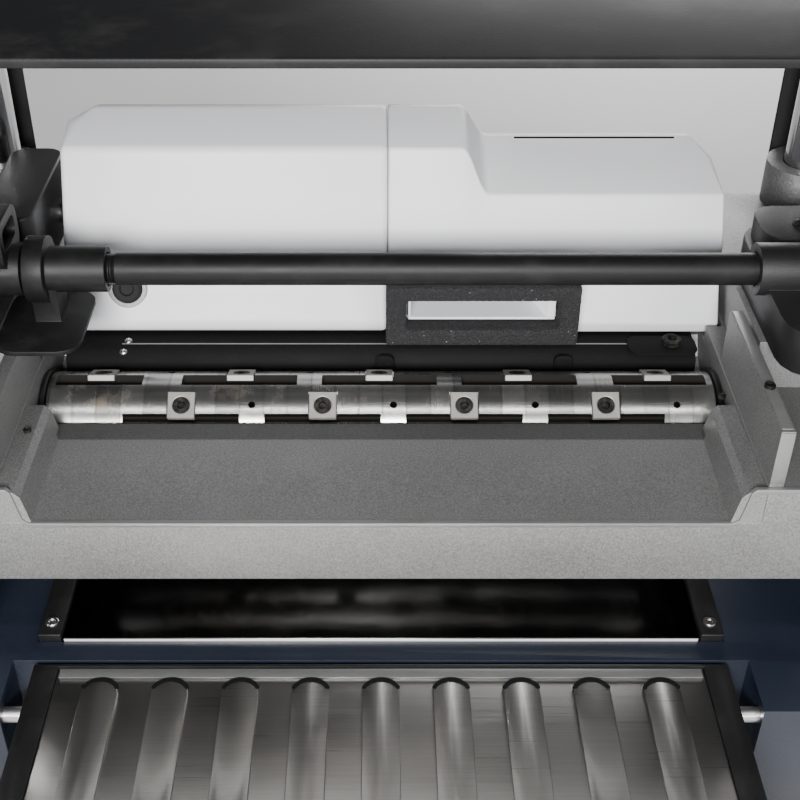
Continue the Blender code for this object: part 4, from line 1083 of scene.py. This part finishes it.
class PLANER_OT_drive(bpy.types.Operator):
    """Feed rollers, motor, fan, belt, gearbox, height screws, chain and crank"""
    bl_idname = "planer.drive"
    bl_label = "Rollers and drive"

    def execute(self, context):
        plain = (("infeed_roller", 0.0005, bright_steel), ("outfeed_roller", 0.0005, soft_rubber),
                 ("motor_housing", 0.0008, black_moulding), ("motor_end_bell", 0.0008, cast_aluminium),
                 ("motor_rotor", 0.0006, bright_steel), ("chip_fan", 0.0004, black_moulding),
                 ("drive_belt", 0.0004, soft_rubber))
        for node, width, maker in plain:
            refined(node, width, maker)
        refined("feed_gearbox", 0.002, cast_aluminium, 3)
        low, high, centre = span("motor_pulley")
        pulley("motor_pulley", (centre.y, centre.z), low, high, 0.0064, "rotor")
        for side in ("left", "right"):
            refined(f"lead_nut_{side}", 0.0006, bright_steel)
            self.screw(side)
        self.chain()
        refined("crank_arm", 0.001, black_coat, 3)
        self.knob()
        return {"FINISHED"}

    def screw(self, side):
        """Height screw: a bar with a turned thread and its sprocket."""
        node = f"lead_screw_{side}"
        low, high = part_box(node)
        joint = Vector(JOINTS[f"screw_{side}_turn"]["pos_m"])
        radius, root = 0.006, 0.0049
        pitch = 0.004
        start, end = 0.09, 0.42
        profile = [(0, low.z), (radius - 0.0006, low.z), (radius, low.z + 0.0006), (radius, start - 0.002)]
        for i in range(int((end - start) / pitch)):
            z = start + i * pitch
            profile += [(radius, z), (root, z + pitch * 0.3), (root, z + pitch * 0.6), (radius, z + pitch * 0.9)]
        profile = [(r, z) for r, z in profile if z < high.z - 0.005]
        profile += [(radius, high.z - 0.001), (radius - 0.001, high.z), (0, high.z)]
        bar = turned(node + "_bar", "Z", (joint.x, joint.y, 0), profile, 32)
        wheel = gear(node + "_sprocket", (joint.x, joint.y), 0.014, 0.002, 12, 0.04, 0.046, "Z")
        made = gather(node + "_thread", [bar, wheel])
        dress(smooth(made, 30), bright_steel, f"screw_{side}", "steel", node)

    def chain(self):
        """Roller chain: a link at every pitch round the two sprockets."""
        low, high, centre = span("sync_chain")
        half = 0.0015
        pitch = 0.008
        radius = (high.y - low.y) / 2 - half
        reach = high.x - radius - half
        length = 4 * reach + TURN * radius
        count = int(length / pitch)
        links = []
        for i in range(count):
            spot, lean = self.along(i / count * length, reach, radius)
            outline = rounded((-0.0052, -0.0013), (0.0052, 0.0013), 0.0012, 3)
            tall = 0.0018 if i % 2 else 0.0011
            link = plate("link", "Z", outline, centre.z - tall, centre.z + tall)
            move = Matrix.Translation(Vector((spot[0], centre.y + spot[1], 0)))
            link.data.transform(move @ Matrix.Rotation(lean, 4, "Z"))
            links.append(link)
        dress(gather("chain_links", links), bright_steel, "base", "steel", "sync_chain")

    def along(self, distance, reach, radius):
        """Place and direction at a distance along the loop, whose second half is the first turned round."""
        straight = 2 * reach
        half, distance = divmod(distance, straight + math.pi * radius)
        if distance < straight:
            spot, lean = (-reach + distance, -radius), 0.0
        else:
            lean = (distance - straight) / radius
            spot = (reach + radius * math.sin(lean), -radius * math.cos(lean))
        sign = -1 if half else 1
        return (sign * spot[0], sign * spot[1]), lean + math.pi * half

    def knob(self):
        low, high, centre = span("crank_knob")
        tall = high.z - low.z
        radius = (high.x - low.x) / 2
        profile = [(0.0045, low.z), (radius * 0.72, low.z), (radius * 0.85, low.z + 0.002)]
        for i in range(9):
            share = i / 8
            bulge = radius * (0.86 + 0.14 * math.sin(math.pi * share))
            profile.append((bulge, low.z + 0.004 + (tall - 0.009) * share))
        profile += [(radius * 0.7, high.z - 0.001), (radius * 0.4, high.z), (0.0045, high.z)]
        made = turned("crank_knob_grip", "Z", (centre.x, centre.y, 0), profile, 48)
        dress(made, black_moulding, "knob", "black_plastic", "crank_knob")


# ---- hood, gasket, chute and deflector


class PLANER_OT_hood(bpy.types.Operator):
    """Two-part chip hood with its seam, stepped top, slot, plug and outlet"""
    bl_idname = "planer.hood"
    bl_label = "Hood"

    left = -170.0
    right = 183.0
    seam = 3.7
    gap = 0.15
    step = (43.0, 57.0)
    lean = 13.0
    leans = (0, 0, 0, 0, 0.1, 0.42, 1, 1, 0.6, 0, 0)
    front = (0, -0.9, 0.43)     # the way that the lower front facet looks

    def ring(self, x, lean=0.0):
        """The hood's skin at x; lean carries the points above the crease along x."""
        share = min(1.0, max(0.0, (x - self.step[0]) / (self.step[1] - self.step[0])))
        share = share * share * (3 - 2 * share)
        crease = (75 - 7.4 * share, 120 - 23 * share)
        top = 128 - 17 * share
        between = (crease[0] * 0.4 + 67.2, crease[1] * 0.4 + top * 0.6)
        section = [(45, 25.2), (43, 32), (53, 49), (60, 73), crease, between, (112, top), (124, top - 4),
                   (134, top - 18), (140, 80), (140, 25.2)]
        return [at(x + lean * part, y, z) for (y, z), part in zip(section, self.leans)]

    def execute(self, context):
        left = [self.ring(self.left, self.lean), self.ring(self.left + 40), self.ring(self.seam - self.gap)]
        stations = [self.seam + self.gap, self.step[0], 45.5, 48.0, 50.0, 52.0, 54.5, self.step[1],
                    self.right - 40]
        right = [*[self.ring(x) for x in stations], self.ring(self.right, -self.lean)]
        for name, rings in (("hood_left", left), ("hood_right", right)):
            shell = soften(loft(name + "_shell", rings), 0.0032, 4, 14.0)
            dress(shell, hood_plastic, "carriage", "white_plastic", name)
            # painted shade: the walls cut through the white hood (inlet, outlet, slot and plug recess) take a
            # matt black finish
            shell.data.materials.append(finish(matt_black))
            if name == "hood_right":
                outlet = round_bar("outlet", "Y", at(110, 0, 62).xz, 0.0265, at(0, 115, 0).y, at(0, 150, 0).y,
                                   0.0001)
                cutters = [block("inlet", at(14, 20, 36), at(94, 95, 53)), outlet,
                           block("slot", at(73, 109.2, 102), at(161, 110.7, 116))]
            else:
                cutters = [placed("recess", lambda n: round_bar(n, "Z", (0, 0), 0.0105, -0.003, 0.02, 0.0001),
                                  at(-137, 52.0, 48.8), self.front)]
            cut(shell, *[lined(cutter, hood_plastic, matt_black) for cutter in cutters])
            smooth(shell)
        self.plug()
        self.port()
        return {"FINISHED"}

    def plug(self):
        """Rubber plug in a grey ring, in the recess of the lower left corner."""
        spot = at(-137, 51.2, 49.2)
        ring = placed("plug_ring", lambda n: round_bar(n, "Z", (0, 0), 0.0108, -0.0035, -0.0008, 0.0005, 0.0082),
                      spot, self.front)
        dress(ring, cast_aluminium, "carriage", "cast_aluminium")
        profile = [(0, -0.003), (0.008, -0.003), (0.0079, 0.001), (0.0066, 0.0026), (0.004, 0.0024),
                   (0.0032, 0.0012), (0, 0.001)]
        plug = placed("plug_cap", lambda n: turned(n, "Z", (0, 0, 0), profile, 40), spot, self.front)
        dress(plug, soft_rubber, "carriage", "rubber")

    def port(self):
        low, high, centre = span("dust_port")
        outer = (high.x - low.x) / 2
        profile = [(0.0265, low.y), (outer, low.y), (outer, low.y + 0.0025), (0.0295, low.y + 0.003),
                   (0.029, low.y + 0.005), (0.029, high.y - 0.003), (0.0296, high.y - 0.002), (0.0294, high.y),
                   (0.0265, high.y)]
        pipe = turned("dust_port_pipe", "Y", (centre.x, 0, centre.z), profile, 64)
        dress(pipe, black_moulding, "carriage", "black_plastic", "dust_port")


class PLANER_OT_gasket(bpy.types.Operator):
    """Foam gasket with a rough cell surface, and the duct inside it"""
    bl_idname = "planer.gasket"
    bl_label = "Gasket and duct"

    def execute(self, context):
        outline = [(30, 25.9), (30, 62), (54.6, 62), (51.4, 48.4), (41.6, 32.4), (43, 25.9)]
        foam = plate("gasket_block", "X", [tuple(at(0, y, z).yz) for y, z in outline], at(2.7, 0, 0).x,
                     at(105.3, 0, 0).x)
        cut(foam, block("opening", at(13.6, 20, 35.6), at(94.4, 80, 53.4)))
        soften(foam, 0.0011, 2)
        modify(foam, "REMESH", mode="VOXEL", voxel_size=0.0011)
        cells = bpy.data.textures.new("cells", "CLOUDS")
        cells.noise_scale = 0.0016
        modify(foam, "DISPLACE", texture=cells, strength=0.00055, mid_level=0.6, texture_coords="GLOBAL")
        smooth(foam, 180)
        dress(foam, gasket_foam, "carriage", "foam", "foam_gasket")
        self.duct()
        return {"FINISHED"}

    def duct(self):
        """Thin-walled duct whose right wall slants inwards."""
        duct = block("duct_skin", at(14.5, 40, 36.5), at(93.5, 64, 52.5))
        inner = [tuple(at(x, y, 0).xy) for x, y in ((15.9, 34), (91.5, 34), (78, 70), (15.9, 70))]
        cut(duct, plate("duct_bore", "Z", inner, at(0, 0, 38).z, at(0, 0, 51).z))
        soften(duct, 0.0003, 1)
        dress(duct, hood_plastic, "carriage", "white_plastic", "chip_chute")


class PLANER_OT_deflector(bpy.types.Operator):
    """Folded chip deflector with tabs, brackets and screws"""
    bl_idname = "planer.deflector"
    bl_label = "Chip deflector"

    def execute(self, context):
        refined("chip_deflector", 0.0004, matt_black, 2, 50.0)
        for x in (2, 98):
            outline = rounded((x - 5, 12.5), (x + 5, 22.5), 3.2, 5)
            tab = plate("deflector_tab_left" if x < 50 else "deflector_tab_right", "Y",
                        [tuple(at(u, 0, v).xz) for u, v in outline], at(0, 25.2, 0).y, at(0, 27.0, 0).y)
            dress(soften(tab, 0.0004, 2), matt_black, "carriage", "black_steel")
        # painted highlight: a thin bright strip laid along the black deflector's edge
        strip = block("deflector_highlight_strip", at(-140, 35.1, 23.7), at(160, 35.8, 24.1))
        dress(strip, machined_aluminium, "carriage", "cast_aluminium")
        outline = rounded((133, 24), (170, 42), 6)
        bracket = plate("deflector_bracket", "Z", [tuple(at(u, v, 0).xy) for u, v in outline], at(0, 0, 23.9).z,
                        at(0, 0, 25.1).z)
        dress(soften(bracket, 0.0004, 2), matt_black, "carriage", "black_steel")
        bolt = placed("deflector_bolt", cap_screw(5.2 * MM, 3.0 * MM, 2.4 * MM), at(157, 35, 25.0), UP)
        dress(bolt, socket_black, "carriage", "steel")
        spots = ((-137, 38, 23.8), (-139, 31.5, 21.2))
        screws = [placed("screw", washer_screw(1.6 * MM, 1.3 * MM), at(*spot), (0, -0.4, 1)) for spot in spots]
        dress(gather("deflector_screws", screws), bright_steel, "carriage", "steel")
        return {"FINISHED"}


# ---- lock shaft and covers


class PLANER_OT_lock(bpy.types.Operator):
    """Lock shaft, lever and bracket"""
    bl_idname = "planer.lock"
    bl_label = "Carriage lock"

    def execute(self, context):
        low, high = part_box("lock_shaft")
        radius = 0.008
        edge = 0.0006
        root, crest = radius - 0.0012, radius - 0.0004
        start, end = [at(x, 0, 0).x for x in (-139, -131)]
        profile = [(0, low.x), (radius - edge, low.x), (radius, low.x + edge), (radius, start - 0.001)]
        turns = 7
        step = (end - start) / turns
        for i in range(turns):
            left = start + step * i
            profile += [(root, left + step * 0.2), (crest, left + step * 0.55), (root, left + step * 0.9)]
        profile += [(radius, end + 0.0012), (radius, high.x - edge), (radius - edge, high.x), (0, high.x)]
        bar = turned("lock_shaft_bar", "X", (0, LOCK.y, LOCK.z), profile, 56)
        dress(bar, black_coat, "lock", "black_steel", "lock_shaft")
        refined("lock_bracket", 0.0009, black_coat, 3)
        refined("lock_lever", 0.0009, black_coat, 3)
        return {"FINISHED"}


class PLANER_OT_covers(bpy.types.Operator):
    """Left and right covers with their screws"""
    bl_idname = "planer.covers"
    bl_label = "Covers"

    def execute(self, context):
        refined("left_cover", 0.003, black_moulding, 4, 30.0)
        refined("right_cover", 0.0028, black_moulding, 4, 30.0)
        screw = placed("cover_screws", washer_screw(3.2 * MM, 2.6 * MM), at(214, 38, 95), UP)
        dress(screw, socket_black, "carriage", "steel")
        return {"FINISHED"}


class PLANER_OT_controls(bpy.types.Operator):
    """Switch, reset button, depth stop knob and cable gland"""
    bl_idname = "planer.controls"
    bl_label = "Controls"

    def execute(self, context):
        thick = (("switch_housing", 0.0022, black_moulding), ("switch_paddle", 0.0014, red_moulding),
                 ("reset_button", 0.0008, red_moulding), ("depth_stop_knob", 0.0014, black_moulding))
        for node, width, maker in thick:
            refined(node, width, maker, 3)
        refined("cable_gland", 0.0008, black_moulding)
        return {"FINISHED"}


OPERATORS = (PLANER_OT_stage, PLANER_OT_base, PLANER_OT_frame, PLANER_OT_leaves, PLANER_OT_casting,
             PLANER_OT_cutterhead, PLANER_OT_drive, PLANER_OT_hood, PLANER_OT_gasket, PLANER_OT_deflector,
             PLANER_OT_lock, PLANER_OT_covers, PLANER_OT_controls)


class PLANER_PT_sidebar(bpy.types.Panel):
    """Lists the operators in build order"""
    bl_label = "Thickness planer"
    bl_idname = "PLANER_PT_sidebar"
    bl_space_type = "VIEW_3D"
    bl_region_type = "UI"
    bl_category = "Planer"

    def draw(self, context):
        for operator in OPERATORS:
            self.layout.operator(operator.bl_idname)
        for group in (context.scene.planer_sizes, context.scene.planer_colours):
            for name in group.bl_rna.properties.keys():
                if name not in {"name", "rna_type"}:
                    self.layout.prop(group, name)


CLASSES = (PlanerSizes, PlanerColours, *OPERATORS, PLANER_PT_sidebar)


def register():
    for item in CLASSES:
        bpy.utils.register_class(item)
    bpy.types.Scene.planer_sizes = PointerProperty(type=PlanerSizes)
    bpy.types.Scene.planer_colours = PointerProperty(type=PlanerColours)


def unregister():
    del bpy.types.Scene.planer_sizes
    del bpy.types.Scene.planer_colours
    for item in reversed(CLASSES):
        bpy.utils.unregister_class(item)


def main():
    """Registers the classes and builds every piece."""
    register()
    for operator in OPERATORS:
        group, name = operator.bl_idname.split(".")
        getattr(getattr(bpy.ops, group), name)()


if __name__ == "__main__":
    main()
